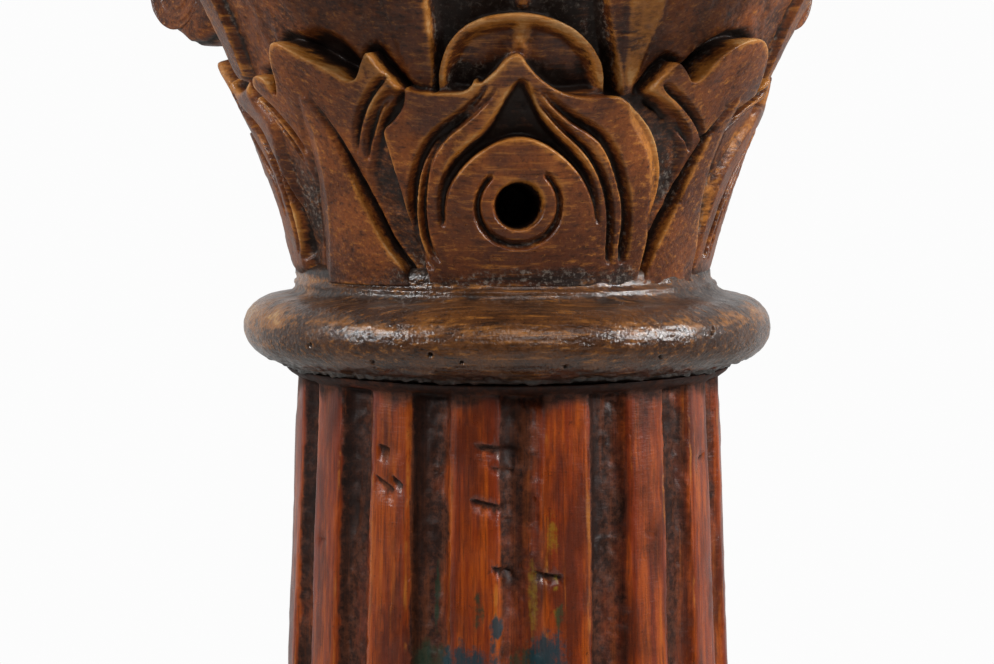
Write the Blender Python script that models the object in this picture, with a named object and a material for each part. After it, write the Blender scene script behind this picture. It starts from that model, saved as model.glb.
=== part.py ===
"""A carved wooden column: plinth, turned base, fluted shaft, leaf capital and abacus.

Metres, +Z up. The axis is Z, the underside of the plinth is at Z = 0, and one of the four large
leaves faces -Y. Angles round the column are in degrees from -Y, growing towards +X. Heights on the
capital are counted from the joint under its ring.
"""

import math

import bmesh
import bpy
import numpy as np

MM = 0.001
GAP = 0.3 * MM                      # clearance between two pieces that touch

PLINTH_SIDE = 0.300
PLINTH_HEIGHT = 0.060
PLINTH_CHAMFER = 0.004
BASE_HEIGHT = 0.078
BASE_STEPS = 32                     # sides of the faceted turning
SHAFT_HEIGHT = 0.800
SHAFT_TOP_RADIUS = 0.0764
SHAFT_TAPER = 0.045                 # growth of the radius for each metre below the top
SHAFT_SWELLING = 0.010              # what the taper loses again, for each square metre
SHAFT_MIDDLE = 0.35                 # distance below the top where its swelling is followed
COLLAR_RADIUS = 0.0808              # the sloping edge under the capital's ring
COLLAR_HEIGHT = 0.0040
COLLAR_STEP = 0.0006                # the small step where the flutes run in under it
FLUTE_COUNT = 16
FLUTE_SHARE = 0.5                   # width of a flute as a share of its pitch
FLUTE_SECTION = (-1.0, -0.6, 0.0, 0.6, 1.0)    # points across a flute, as shares of its half width
FLUTE_DEPTH = 0.0045
FLUTE_FOOT = 0.045                  # plain band left under the flutes
FLUTE_RUN_OUT = 0.012               # length over which a flute rises to that band
SHAFT_FOOT_FLARE = 0.006
SHAFT_FOOT_HEIGHT = 0.012

RING_RADIUS = 0.0820                # centre of the ring's half-round section
RING_REACH = 0.0135
RING_HALF_HEIGHT = 0.0115
RING_CENTRE = 0.0137
RING_SECTION = (-76, 72)            # where its half round starts and ends, in degrees
RING_UNDERSIDE = 0.0815             # radius at the joint
NECK_RADIUS = 0.0755
NECK_TOP = 0.0275
BELL_FOOT = 0.0315                  # height where the neck has turned in to the bell
LEAF_FOOT = 0.0325                  # height where the leaves start
BELL_FOOT_RADIUS = 0.0700
BELL_LEAN = 0.24                    # the bell opens by this much at its foot
BELL_FLARE = 1.5                    # and by this much more for each metre squared
CAPITAL_HEIGHT = 0.164
CORE_HEIGHTS = (0.060, 0.091, 0.0925, 0.105, 0.117, 0.132, 0.148, CAPITAL_HEIGHT)
CORE_ANGLES = (0, 8, 14.5, 17, 31, 45)         # degrees from a large leaf's middle

SIDES = 4                           # large leaves, and as many small ones between them
LARGE_LEAF_LIFT = 0.0045
SMALL_LEAF_LIFT = 0.0022
STEM_LIFT = 0.0048
TIP_CURL = 0.0030                   # how much further the leaf tips lean out
LARGE_CURL_START = 0.085            # heights where that lean starts
SMALL_CURL_START = 0.088
LARGE_TIP = 0.104                   # heights where it is full
SMALL_TIP = 0.1095
SET_IN = 0.0030                     # how deep a leaf's back lies inside the bell
LOOP_STEP = 0.0004                  # least distance between two edges carved side by side
EDGE_WIDTH = 0.0012                 # a leaf's bevelled edge
EDGE_DROP = 0.0010
SMALL_EDGE_WIDTH = 0.0015
SMALL_EDGE_DROP = 0.0008
BLADE_WIDTH = 0.0100                # the small leaf's blade, from its edge to where it dips
BLADE_DROP = 0.0004
GROOVE_WIDTH = 0.0020               # the cut band inside the large leaf's edge
GROOVE_DEPTH = 0.0032
RIDGE_DROP = 0.0004                 # the ridge next to it
MOAT_DEPTH = 0.0028                 # the arched groove round the boss
MOAT_WIDTH = 0.0008
TRIANGLE_FLOOR = 0.0775             # height where that groove widens to a triangle
TRIANGLE_DEPTH = 0.0030
TRIANGLE_RISE = 0.0010              # how much shallower it is next to the boss
BOSS_DROP = 0.0006
BOSS_EDGE = 0.0002
EYE_HEIGHT = 0.0576
EYE_RADIUS = 0.0074
EYE_DEPTH = 0.030
EYE_STEPS = 14
DRILL_START = 0.120                 # from the axis; the drill starts outside the leaf
SMALL_LEAF_MIDDLE = 0.070           # heights of the points that the leaves are laid out from
BACK_LEAF_MIDDLE = 0.097
BACK_RIM = ((0.0, -0.0004), (0.0030, -0.0002), (0.0048, -0.0045))    # (inset, lift) over the bell
NICHE_HALF_WIDTH = 16.0
NICHE_FLOOR = 0.0925
NICHE_DEPTH = 0.009
SCOOP_DEPTH = 0.005                 # hollow cut in the bell behind each small leaf's tip
SCOOP_HEIGHTS = (0.100, 0.110)
SCOOP_SIDE = 30.0                   # degrees from the large leaf's middle to the hollow
STEM_EDGE = 0.6                     # degrees of the stem's bevelled edge
STEM_EDGE_DROP = 0.0006

SCROLL_CENTRE = 0.174               # from the axis, along the diagonal
SCROLL_RADIUS = 0.0193
SCROLL_HALF_WIDTH = 0.015
SCROLL_START = 200.0                # degrees round the scroll where the arm runs in to it
SCROLL_SWEEP = 250.0
SCROLL_STEPS = 14
SCROLL_SINK = 0.0002                # the scrolls stay this much under the top of the block
SCROLL_EYE = 0.0065
SCROLL_EYE_REACH = 0.002
SCROLL_EYE_STEPS = 10
# The arm from the bell to the scroll as (distance from the axis, height): its underside and its top.
ARM_UNDERSIDE = ((0.095, 0.121), (0.116, 0.129), (0.136, 0.1395), (0.149, 0.1415))
ARM_TOP = (0.165, 0.095)
ABACUS_HEIGHT = 0.022
ABACUS_CORNER = 0.204               # from the axis to the cut-off corner
ABACUS_CORNER_WIDTH = 0.040
ABACUS_CORNER_SHARE = 0.4           # how much of an inset narrows the cut corner on each side
ABACUS_WAIST = 0.134                # from the axis to the middle of a side
ABACUS_STEPS = 6                    # straight pieces in a hollow side
# The board's edge as (inset, height): a hollow under a square edge.
ABACUS_SECTION = ((0.012, 0.0), (0.010, 0.003), (0.004, 0.008), (0.001, 0.0115), (0.0, 0.0125),
                  (0.0, ABACUS_HEIGHT - 0.001), (0.001, ABACUS_HEIGHT))

BASE_Z = PLINTH_HEIGHT + GAP
SHAFT_Z = BASE_Z + BASE_HEIGHT + GAP
JOINT_Z = SHAFT_Z + SHAFT_HEIGHT + GAP
ABACUS_Z = JOINT_Z + CAPITAL_HEIGHT + GAP
SCROLL_Z = CAPITAL_HEIGHT - SCROLL_RADIUS - SCROLL_SINK

# Half outlines on the unrolled bell, as (degrees from the leaf's middle, height in mm), top first.
LARGE_LEAF = [(0, 104), (2, 101.5), (4.5, 98), (7.5, 95), (11, 92.8), (16, 92.6), (20.5, 94),
              (22.5, 90.5), (26, 86), (29.5, 81), (31, 74), (31, 64), (30, 52), (28.5, 42),
              (27, 32.5), (14, 32.5), (0, 32.5)]
OUTER_GROOVE = [(0, 99.5), (5.5, 94.5), (8.2, 90), (11.8, 86), (16, 82.5), (19.3, 78.5), (22, 72),
                (24.2, 65), (26, 58), (27, 52), (27, 45), (26, 34), (14, 33.3), (0, 33.3)]
INNER_GROOVE = [(0, 97.5), (3.2, 92.5), (5.6, 88), (9, 83.5), (12.6, 79.5), (16, 75), (18.3, 69),
                (20.2, 62), (21.6, 55), (22.2, 47), (21.8, 34.5), (12, 34), (0, 34)]
ARCH_OUTER = [(0, 96), (2, 91.5), (4.5, 85), (7.5, 80.5), (11.5, 75.5), (14.5, 71), (16.8, 65),
              (18, 59), (18.2, 53.5), (14, 36), (0, 35)]
ARCH_INNER = [(0, 79), (3.5, 78.4), (6.5, 76), (9.5, 72.8), (12, 69), (14, 64), (15.3, 59),
              (16.2, 53), (12, 37), (0, 36)]
SMALL_LEAF = [(0, 109.5), (4, 108.6), (7.5, 105.5), (10, 101), (11.7, 97), (13.4, 101), (16.5, 105),
              (18.6, 101), (21, 94.5), (22.5, 86), (22.5, 78), (21.5, 66), (19, 50), (16, 32.5),
              (8, 32.5), (0, 32.5)]
BACK_LEAF = [(0, 116.7), (4.5, 116), (8, 114.3), (10.8, 111.5), (13, 108), (14.6, 103), (15.4, 97),
             (15.4, 90), (7, 88), (0, 88)]
# The small leaf's stem as (height, half width in degrees, how far its face sinks).
STEM_STEPS = ((0.0325, 12.8, 0.0), (0.055, 8.2, 0.0), (0.078, 3.8, 0.0002), (0.098, 1.0, 0.0014))

# The turned base in mm: for a bead or hollow the radius and height of its middle and its reach, and
# the straight edges under and over them as (radius, height).
BASE_FOOT_EDGE = ((136, 0), (140, 2))
LOWER_BEAD = (127, 17, 15)
HOLLOW = (129, 45, 11)
UPPER_BEAD = (118, 66, 7)
BASE_TOP_RADIUS = 116
BEAD_SECTION = (-70, 75)            # where a bead starts and ends, in degrees
HOLLOW_SECTION = (-60, 60)

WOOD_RED = (0.235, 0.062, 0.022, 1.0)
WOOD_BROWN = (0.150, 0.066, 0.026, 1.0)
WOOD_DARK = (0.090, 0.040, 0.019, 1.0)


def wood(name, colour, roughness):
    """A varnished wood in one plain colour."""
    material = bpy.data.materials.new(name)
    material.use_nodes = True
    shader = material.node_tree.nodes["Principled BSDF"]
    shader.inputs["Base Color"].default_value = colour
    shader.inputs["Roughness"].default_value = roughness
    shader.inputs["Metallic"].default_value = 0.0
    return material


def around(angle, radius, height):
    """The point at an angle in degrees from -Y, at a radius and a height."""
    turn = math.radians(angle)
    return (radius * math.sin(turn), -radius * math.cos(turn), height)


def add_object(name, bm, material, sharp_angle=35):
    """Turns a finished bmesh into an object with smooth shading and sharp edges."""
    bmesh.ops.recalc_face_normals(bm, faces=bm.faces)
    mesh = bpy.data.meshes.new(name)
    bm.to_mesh(mesh)
    bm.free()
    mesh.shade_smooth()
    mesh.set_sharp_from_angle(angle=math.radians(sharp_angle))
    obj = bpy.data.objects.new(name, mesh)
    bpy.context.scene.collection.objects.link(obj)
    mesh.materials.append(material)
    return obj


def closed_rings(rings, middle=None):
    """A closed solid through rings of points, each ring with as many points as the next.

    The last ring is closed by one face, or by a fan round a middle point where the face is bent.
    """
    bm = bmesh.new()
    loops = [[bm.verts.new(point) for point in ring] for ring in rings]
    for lower, upper in zip(loops, loops[1:]):
        for i, vert in enumerate(lower):
            j = (i + 1) % len(lower)
            bm.faces.new((vert, lower[j], upper[j], upper[i]))
    bm.faces.new(loops[0][::-1])
    last = loops[-1]
    if middle is None:
        bm.faces.new(last)
    else:
        hub = bm.verts.new(middle)
        for i, vert in enumerate(last):
            bm.faces.new((vert, last[(i + 1) % len(last)], hub))
    return bm


def turned(profile, angles):
    """A closed solid turned from (radius, height) pairs in metres, at the given angles."""
    return closed_rings([[around(a, r, h) for a in angles] for r, h in profile])


def set_off(axis, out, across, height):
    """The point that lies out along the direction of an angle and to one side of it, at a height."""
    turn = math.radians(axis)
    return (out * math.sin(turn) + across * math.cos(turn),
            across * math.sin(turn) - out * math.cos(turn), height)


def bead(radius, height, reach, half_height, section, steps):
    """Points along a half-round, between the two angles of its section."""
    start, end = section
    turns = [math.radians(start + (end - start) * i / steps) for i in range(steps + 1)]
    return [(radius + reach * math.cos(t), height + half_height * math.sin(t)) for t in turns]


def bell_radius(height):
    """Radius of the plain bell at a height above the joint; below the leaves it is straight."""
    rise = max(height - LEAF_FOOT, 0.0)
    return BELL_FOOT_RADIUS + BELL_LEAN * rise + BELL_FLARE * rise * rise


def shaft_radius(drop):
    """Radius of the shaft at a distance below its top."""
    return SHAFT_TOP_RADIUS + SHAFT_TAPER * drop - SHAFT_SWELLING * drop * drop


def make_plinth(material):
    """The square block on the ground, with its edges lightly broken."""
    bm = bmesh.new()
    bmesh.ops.create_cube(bm, size=1.0)
    bmesh.ops.scale(bm, vec=(PLINTH_SIDE, PLINTH_SIDE, PLINTH_HEIGHT), verts=bm.verts)
    bmesh.ops.translate(bm, vec=(0, 0, PLINTH_HEIGHT / 2), verts=bm.verts)
    edges = [e for e in bm.edges if any(v.co.z > PLINTH_HEIGHT / 2 for v in e.verts)]
    bmesh.ops.bevel(bm, geom=edges, offset=PLINTH_CHAMFER, segments=1, affect="EDGES")
    return add_object("plinth", bm, material)


def make_base(material):
    """The turned moulding: a large bead, a hollow and a small bead under the shaft's foot."""
    profile = [(r * MM, h * MM) for r, h in BASE_FOOT_EDGE]
    radius, height, reach = (v * MM for v in LOWER_BEAD)
    profile += bead(radius, height, reach, reach, BEAD_SECTION, 4)
    radius, height, reach = (v * MM for v in HOLLOW)
    profile += bead(radius, height, -reach, reach, HOLLOW_SECTION, 3)
    radius, height, reach = (v * MM for v in UPPER_BEAD)
    profile += bead(radius, height, reach, reach, BEAD_SECTION, 3)
    profile.append((BASE_TOP_RADIUS * MM, BASE_HEIGHT))
    obj = add_object("base", turned(profile, [360 * i / BASE_STEPS for i in range(BASE_STEPS)]), material)
    obj.location.z = BASE_Z
    return obj


def make_shaft(material):
    """The tapering trunk, with hollow flutes cut between flat fillets of the same width."""
    pitch = 360 / FLUTE_COUNT
    columns = [(pitch * (i + u * FLUTE_SHARE / 2), 1 - u ** 4)
               for i in range(FLUTE_COUNT) for u in FLUTE_SECTION]
    foot = SHAFT_HEIGHT - FLUTE_FOOT
    foot_radius = shaft_radius(SHAFT_HEIGHT) + SHAFT_FOOT_FLARE
    # Each row is (distance below the top, radius, how much of the flutes' depth is cut there).
    rows = [(SHAFT_HEIGHT, foot_radius, 0),
            (SHAFT_HEIGHT - SHAFT_FOOT_HEIGHT, foot_radius, 0),
            (foot + FLUTE_RUN_OUT, shaft_radius(foot + FLUTE_RUN_OUT), 0),
            (foot, shaft_radius(foot), 1),
            (SHAFT_MIDDLE, shaft_radius(SHAFT_MIDDLE), 1),
            (COLLAR_HEIGHT + COLLAR_STEP, shaft_radius(COLLAR_HEIGHT), 1),
            (COLLAR_HEIGHT, shaft_radius(COLLAR_HEIGHT) + COLLAR_STEP, 0),
            (0.0, COLLAR_RADIUS, 0)]
    rings = [[around(angle, radius - FLUTE_DEPTH * hollow * cut, SHAFT_HEIGHT - drop)
              for angle, hollow in columns] for drop, radius, cut in rows]
    obj = add_object("shaft", closed_rings(rings), material)
    obj.location.z = SHAFT_Z
    return obj


def capital_core(material):
    """Ring, neck and bell in one, with a niche over each large leaf and a scoop over each small one."""
    rows = [(RING_UNDERSIDE, 0.0)]
    rows += bead(RING_RADIUS, RING_CENTRE, RING_REACH, RING_HALF_HEIGHT, RING_SECTION, 6)
    rows += [(NECK_RADIUS, NECK_TOP), (BELL_FOOT_RADIUS, BELL_FOOT)]
    rows += [(bell_radius(h), h) for h in CORE_HEIGHTS]
    quarter = CORE_ANGLES + tuple(90 - a for a in CORE_ANGLES[-2:0:-1])
    angles = [90 * side + a for side in range(SIDES) for a in quarter]

    def cut(angle, height):
        """How far the wood is cut back from the plain bell."""
        from_large = abs((angle + 45) % 90 - 45)
        if height >= NICHE_FLOOR and from_large < NICHE_HALF_WIDTH:
            return NICHE_DEPTH
        if SCOOP_HEIGHTS[0] < height < SCOOP_HEIGHTS[1] and from_large > SCOOP_SIDE:
            return SCOOP_DEPTH
        return 0.0

    rings = [[around(a, r - cut(a, h), h) for a in angles] for r, h in rows]
    obj = add_object("capital", closed_rings(rings), material)
    obj.location.z = JOINT_Z
    return obj


def polar_outline(half, centre, rays):
    """The distance of a mirrored outline from a centre on the bell, along each ray."""
    points = np.array(half, float)
    heights = points[:, 1] * MM
    widths = np.radians(points[:, 0]) * np.array([bell_radius(h) for h in heights])
    turns = np.degrees(np.arctan2(heights - centre, widths))
    order = np.argsort(turns)
    return np.interp(rays, turns[order], np.hypot(widths, heights - centre)[order])


def nested_loops(centre, rays, steps):
    """Closed loops on the bell, each inside the one before, from (half outline, inset, lift) steps."""
    loops = []
    outer = np.full(len(rays), np.inf)
    for half, inset, lift in steps:
        outer = np.minimum(polar_outline(half, centre, rays) - inset, outer - LOOP_STEP)
        loop = []
        for turn, distance in zip(np.radians(rays), outer):
            height = centre + distance * math.sin(turn)
            width = distance * math.cos(turn)
            loop.append((math.degrees(width / bell_radius(height)), height, lift(height)))
        mirrored = [(-angle, height, raised) for angle, height, raised in loop[-2:0:-1]]
        loops.append(loop + mirrored)
    return loops


def leaf_solid(axis, centre, loops, back):
    """A closed plate bent round the bell: its loops run from the edge to the centre of its face."""
    rings = [[around(axis + a, bell_radius(h) + back, h) for a, h, lift in loops[0]]]
    rings += [[around(axis + a, bell_radius(h) + lift, h) for a, h, lift in loop] for loop in loops]
    lift = sum(raised for a, h, raised in loops[-1]) / len(loops[-1])
    return closed_rings(rings, around(axis, bell_radius(centre) + lift, centre))


def large_leaf_loops():
    """The large leaf: a flat face, two cut bands and a triangle round the boss with the eye."""
    rays = [90, 80, 68, 58, 47, 39, 27, 13, -3, -20, -37, -62, -90]

    def face(drop, top_drop=0.0):
        """The face's lift, dropped by a depth, and by a second one in the triangle at the top."""
        def lift(height):
            tip = (height - LARGE_CURL_START) / (LARGE_TIP - LARGE_CURL_START)
            curl = TIP_CURL * max(0.0, tip) ** 2
            high = top_drop if height > TRIANGLE_FLOOR else 0.0
            return LARGE_LEAF_LIFT + curl - drop - high
        return lift

    return nested_loops(EYE_HEIGHT, rays, [
        (LARGE_LEAF, 0.0, face(EDGE_DROP)),
        (LARGE_LEAF, EDGE_WIDTH, face(0.0)),
        (OUTER_GROOVE, 0.0, face(0.0)),
        (OUTER_GROOVE, GROOVE_WIDTH, face(GROOVE_DEPTH)),
        (INNER_GROOVE, 0.0, face(RIDGE_DROP)),
        (ARCH_OUTER, 0.0, face(0.0)),
        (ARCH_OUTER, EDGE_WIDTH, face(MOAT_DEPTH, TRIANGLE_DEPTH)),
        (ARCH_INNER, -MOAT_WIDTH, face(MOAT_DEPTH, TRIANGLE_DEPTH - TRIANGLE_RISE)),
        (ARCH_INNER, BOSS_EDGE, face(BOSS_DROP))])


def small_leaf_loops():
    """The small leaf: a low blade with a round tip that leans out and a point on each side."""
    rays = [90, 79, 68, 61, 55, 50.5, 45, 36, 22, 5, -30, -52, -68, -90]

    def face(drop):
        """The blade's lift, growing towards the tips."""
        def lift(height):
            tip = (height - SMALL_CURL_START) / (SMALL_TIP - SMALL_CURL_START)
            return SMALL_LEAF_LIFT + 2 * TIP_CURL * max(0.0, tip) - drop
        return lift

    return nested_loops(SMALL_LEAF_MIDDLE, rays, [
        (SMALL_LEAF, 0.0, face(SMALL_EDGE_DROP)),
        (SMALL_LEAF, SMALL_EDGE_WIDTH, face(0.0)),
        (SMALL_LEAF, BLADE_WIDTH, face(BLADE_DROP))])


def back_leaf_loops():
    """The leaf in the niche: a raised rim round a hollow with a low middle rib."""
    rays = [90, 72, 56, 42, 28, 14, 0, -30, -55, -90]
    return nested_loops(BACK_LEAF_MIDDLE, rays, [
        (BACK_LEAF, inset, lambda height, level=level: level) for inset, level in BACK_RIM])


def stem_solid(axis):
    """The small leaf's stem: a long triangle, wide at the foot, that runs in under the leaf's tip."""
    rings = []
    for height, half_width, sink in STEM_STEPS:
        radius = bell_radius(height)
        back = radius - SET_IN
        top = radius + STEM_LIFT - sink
        side = top - STEM_EDGE_DROP
        section = [(-half_width, back), (-half_width, side), (STEM_EDGE - half_width, top), (0, top),
                   (half_width - STEM_EDGE, top), (half_width, side), (half_width, back)]
        rings.append([around(axis + a, r, height) for a, r in section])
    return closed_rings(rings)


def scroll_solid(axis):
    """A corner scroll and the curved arm that joins it to the top of the bell, cut in one."""
    top = CAPITAL_HEIGHT - SCROLL_SINK
    turns = [math.radians(SCROLL_START + SCROLL_SWEEP * i / SCROLL_STEPS)
             for i in range(SCROLL_STEPS + 1)]
    outline = list(ARM_UNDERSIDE)
    outline += [(SCROLL_CENTRE + SCROLL_RADIUS * math.cos(t), SCROLL_Z + SCROLL_RADIUS * math.sin(t))
                for t in turns]
    outline += [(out, top) for out in ARM_TOP]
    return closed_rings([[set_off(axis, out, across, height) for out, height in outline]
                         for across in (-SCROLL_HALF_WIDTH, SCROLL_HALF_WIDTH)])


def round_bar(start, end, radius, steps):
    """A level round bar from one point to another."""
    start, end, up = np.array(start), np.array(end), np.array((0.0, 0.0, 1.0))
    across = np.cross(end - start, up) / np.linalg.norm(end - start)
    turns = [2 * math.pi * i / steps for i in range(steps)]
    circle = [radius * (math.cos(t) * across + math.sin(t) * up) for t in turns]
    return closed_rings([[middle + offset for offset in circle] for middle in (start, end)])


def guide_group(name, solids):
    """A hidden collection of solids that the capital is joined with or cut by."""
    group = bpy.data.collections.new(name)
    bpy.context.scene.collection.children.link(group)
    for number, bm in enumerate(solids):
        bmesh.ops.recalc_face_normals(bm, faces=bm.faces)
        mesh = bpy.data.meshes.new(f"{name}_{number}")
        bm.to_mesh(mesh)
        bm.free()
        guide = bpy.data.objects.new(mesh.name, mesh)
        guide.location.z = JOINT_Z
        guide.hide_render = True
        guide.display_type = "WIRE"
        group.objects.link(guide)
    return group


def combine(obj, group, operation):
    """Joins an object with a group of solids, or cuts it with them."""
    modifier = obj.modifiers.new(group.name, "BOOLEAN")
    modifier.operation = operation
    modifier.operand_type = "COLLECTION"
    modifier.collection = group
    modifier.solver = "EXACT"


def make_capital(material):
    """The carved block: core, leaves, stems, niche leaves and corner scrolls, with drilled eyes."""
    obj = capital_core(material)
    axes = [90 * side for side in range(SIDES)]
    diagonals = [a + 45 for a in axes]
    eye_end = SCROLL_HALF_WIDTH + SCROLL_EYE_REACH
    parts = [leaf_solid(a, BACK_LEAF_MIDDLE, back_leaf_loops(), -NICHE_DEPTH - SET_IN) for a in axes]
    parts += [leaf_solid(a, EYE_HEIGHT, large_leaf_loops(), -SET_IN) for a in axes]
    parts += [leaf_solid(a, SMALL_LEAF_MIDDLE, small_leaf_loops(), -SET_IN) for a in diagonals]
    parts += [stem_solid(a) for a in diagonals]
    parts += [scroll_solid(a) for a in diagonals]
    parts += [round_bar(set_off(a, SCROLL_CENTRE, -eye_end, SCROLL_Z),
                        set_off(a, SCROLL_CENTRE, eye_end, SCROLL_Z), SCROLL_EYE, SCROLL_EYE_STEPS)
              for a in diagonals]
    combine(obj, guide_group("carving", parts), "UNION")
    drill_end = bell_radius(EYE_HEIGHT) - EYE_DEPTH
    drills = [round_bar(around(a, drill_end, EYE_HEIGHT), around(a, DRILL_START, EYE_HEIGHT),
                        EYE_RADIUS, EYE_STEPS) for a in axes]
    combine(obj, guide_group("drills", drills), "DIFFERENCE")
    return obj


def abacus_outline(inset):
    """The four-cornered outline with hollow sides and cut corners, drawn in by an inset."""
    points = []
    half = ABACUS_CORNER_WIDTH / 2 - inset * ABACUS_CORNER_SHARE
    corner = ABACUS_CORNER - inset
    start = math.degrees(math.atan2(half, corner))
    reach = math.hypot(half, corner)
    low = ABACUS_WAIST - inset
    end_x = reach * math.sin(math.radians(45 - start))
    end_y = reach * math.cos(math.radians(45 - start))
    for side in range(SIDES):
        turn = math.radians(90 * side)
        for i in range(ABACUS_STEPS + 1):
            x = end_x * (2 * i / ABACUS_STEPS - 1)
            y = low + (end_y - low) * (x / end_x) ** 2
            points.append((x * math.cos(turn) + y * math.sin(turn),
                           x * math.sin(turn) - y * math.cos(turn)))
    return points


def make_abacus(material):
    """The board on top: a hollow under a square edge, all round the four-cornered outline."""
    rings = [[(x, y, h) for x, y in abacus_outline(inset)] for inset, h in ABACUS_SECTION]
    obj = add_object("abacus", closed_rings(rings), material)
    obj.location.z = ABACUS_Z
    return obj


for old in list(bpy.data.objects):
    bpy.data.objects.remove(old, do_unlink=True)

red_wood = wood("red varnished wood", WOOD_RED, 0.42)
brown_wood = wood("brown waxed wood", WOOD_BROWN, 0.45)
dark_wood = wood("dark waxed wood", WOOD_DARK, 0.5)
make_plinth(dark_wood)
make_base(dark_wood)
make_shaft(red_wood)
make_capital(brown_wood)
make_abacus(brown_wood)
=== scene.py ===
"""Looks of the carved wooden column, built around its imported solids.

Metres, +Z up. Angles round the column are in degrees from -Y, growing towards +X, and heights on the
capital are in millimetres above the joint under its ring.
"""

import math

import bmesh
import bpy
import numpy as np
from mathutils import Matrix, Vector


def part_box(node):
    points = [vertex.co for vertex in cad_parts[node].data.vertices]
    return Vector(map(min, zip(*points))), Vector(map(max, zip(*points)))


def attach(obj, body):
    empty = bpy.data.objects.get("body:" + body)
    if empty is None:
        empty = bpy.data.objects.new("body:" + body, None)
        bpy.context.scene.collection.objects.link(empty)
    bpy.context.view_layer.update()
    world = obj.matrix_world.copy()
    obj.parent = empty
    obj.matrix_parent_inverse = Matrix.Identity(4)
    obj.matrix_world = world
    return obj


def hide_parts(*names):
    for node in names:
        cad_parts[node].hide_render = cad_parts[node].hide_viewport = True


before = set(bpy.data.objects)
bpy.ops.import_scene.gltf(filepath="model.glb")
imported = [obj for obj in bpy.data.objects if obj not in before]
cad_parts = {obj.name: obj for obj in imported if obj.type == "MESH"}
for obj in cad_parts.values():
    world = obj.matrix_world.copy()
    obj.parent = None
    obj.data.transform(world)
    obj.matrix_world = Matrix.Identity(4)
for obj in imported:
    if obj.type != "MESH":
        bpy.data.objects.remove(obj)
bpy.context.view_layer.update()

# Camera, floor and light.
# The photograph is taken from close by, a little above the capital's ring and a little to the left of
# the front leaf, in a white surrounding with a soft light on each side.

MM = 0.001
PHOTO_WIDTH = 994                   # pixels
VIEW_DISTANCE = 0.6592              # from the column's axis
VIEW_RISE = 0.0641                  # above the joint under the ring
VIEW_TURN = math.radians(3.4)       # to the left of the front leaf
VIEW_PITCH = math.radians(4.64)     # downwards
FOCAL_PIXELS = 1805.0
AXIS_OFFSET_PIXELS = 10.5           # the column stands this far right of the picture's middle
SENSOR_WIDTH = 36.0
FLOOR_HALF_SIDE = 2.4

joint_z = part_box("capital")[0].z


def colour(code, alpha=1.0):
    """A linear colour from its sRGB hex code."""
    channels = [int(code[i:i + 2], 16) / 255 for i in (1, 3, 5)]
    linear = [c / 12.92 if c <= 0.04045 else ((c + 0.055) / 1.055) ** 2.4 for c in channels]
    return (*linear, alpha)


def add_node(tree, kind, inputs=None, **settings):
    """A node of a tree with its settings, and its inputs set to values or linked from sockets."""
    node = tree.nodes.new(kind)
    for name, value in settings.items():
        setattr(node, name, value)
    for key, value in (inputs or {}).items():
        if isinstance(value, bpy.types.NodeSocket):
            tree.links.new(value, node.inputs[key])
        else:
            node.inputs[key].default_value = value
    return node


def new_material(name):
    """An empty material and its tree."""
    material = bpy.data.materials.new(name)
    material.use_nodes = True
    material.node_tree.nodes.clear()
    return material, material.node_tree


def add_object(name, mesh):
    """An object at the origin that shows a mesh."""
    obj = bpy.data.objects.new(name, mesh)
    bpy.context.scene.collection.objects.link(obj)
    return obj


def paper(name, code, roughness):
    """Matt painted board, for the floor: even, with a faint mottle so that it isn't one flat tone."""
    material, tree = new_material(name)
    place = add_node(tree, "ShaderNodeTexCoord").outputs["Object"]
    mottle = add_node(tree, "ShaderNodeTexNoise", {"Vector": place, "Scale": 3.0}).outputs[0]
    tone = add_node(tree, "ShaderNodeMapRange", {0: mottle, 3: 0.985, 4: 1.0}).outputs[0]
    tint = add_node(tree, "ShaderNodeMix", {0: tone, 6: (0, 0, 0, 1), 7: colour(code)},
                    data_type="RGBA").outputs[2]
    shader = add_node(tree, "ShaderNodeBsdfPrincipled", {"Base Color": tint, "Roughness": roughness})
    add_node(tree, "ShaderNodeOutputMaterial", {"Surface": shader.outputs[0]})
    return material


camera_data = bpy.data.cameras.new("camera")
camera_data.sensor_width = SENSOR_WIDTH
camera_data.lens = FOCAL_PIXELS / PHOTO_WIDTH * SENSOR_WIDTH
camera_data.clip_start = 0.01
camera = add_object("camera", camera_data)
camera.location = (-VIEW_DISTANCE * math.sin(VIEW_TURN), -VIEW_DISTANCE * math.cos(VIEW_TURN),
                   joint_z + VIEW_RISE)
camera.rotation_euler = (math.pi / 2 - VIEW_PITCH, 0,
                         math.atan(AXIS_OFFSET_PIXELS / FOCAL_PIXELS) - VIEW_TURN)
bpy.context.scene.camera = camera
bpy.context.scene.view_settings.view_transform = "Standard"

floor_mesh = bpy.data.meshes.new("floor")
corners = [(x * FLOOR_HALF_SIDE, y * FLOOR_HALF_SIDE, 0) for x, y in ((-1, -1), (1, -1), (1, 1), (-1, 1))]
floor_mesh.from_pydata(corners, [], [(0, 1, 2, 3)])
floor_mesh.materials.append(paper("pale painted floor", "#dedcd8", 0.9))
add_object("floor", floor_mesh)

SEEN_WHITE = 0.975                  # what the camera sees behind the column
ROOM_LIGHT = (0.03, 0.50)           # what the room gives the column: from the front and from behind
SOFT_BOXES = (                      # angle round the column, height above the joint, distance, side, watts
    (-62, 0.54, 1.15, 0.22, 10.0),
    (64, 0.50, 1.15, 0.26, 15.5),
    (10, 1.20, 1.60, 0.80, 8.0))

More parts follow.
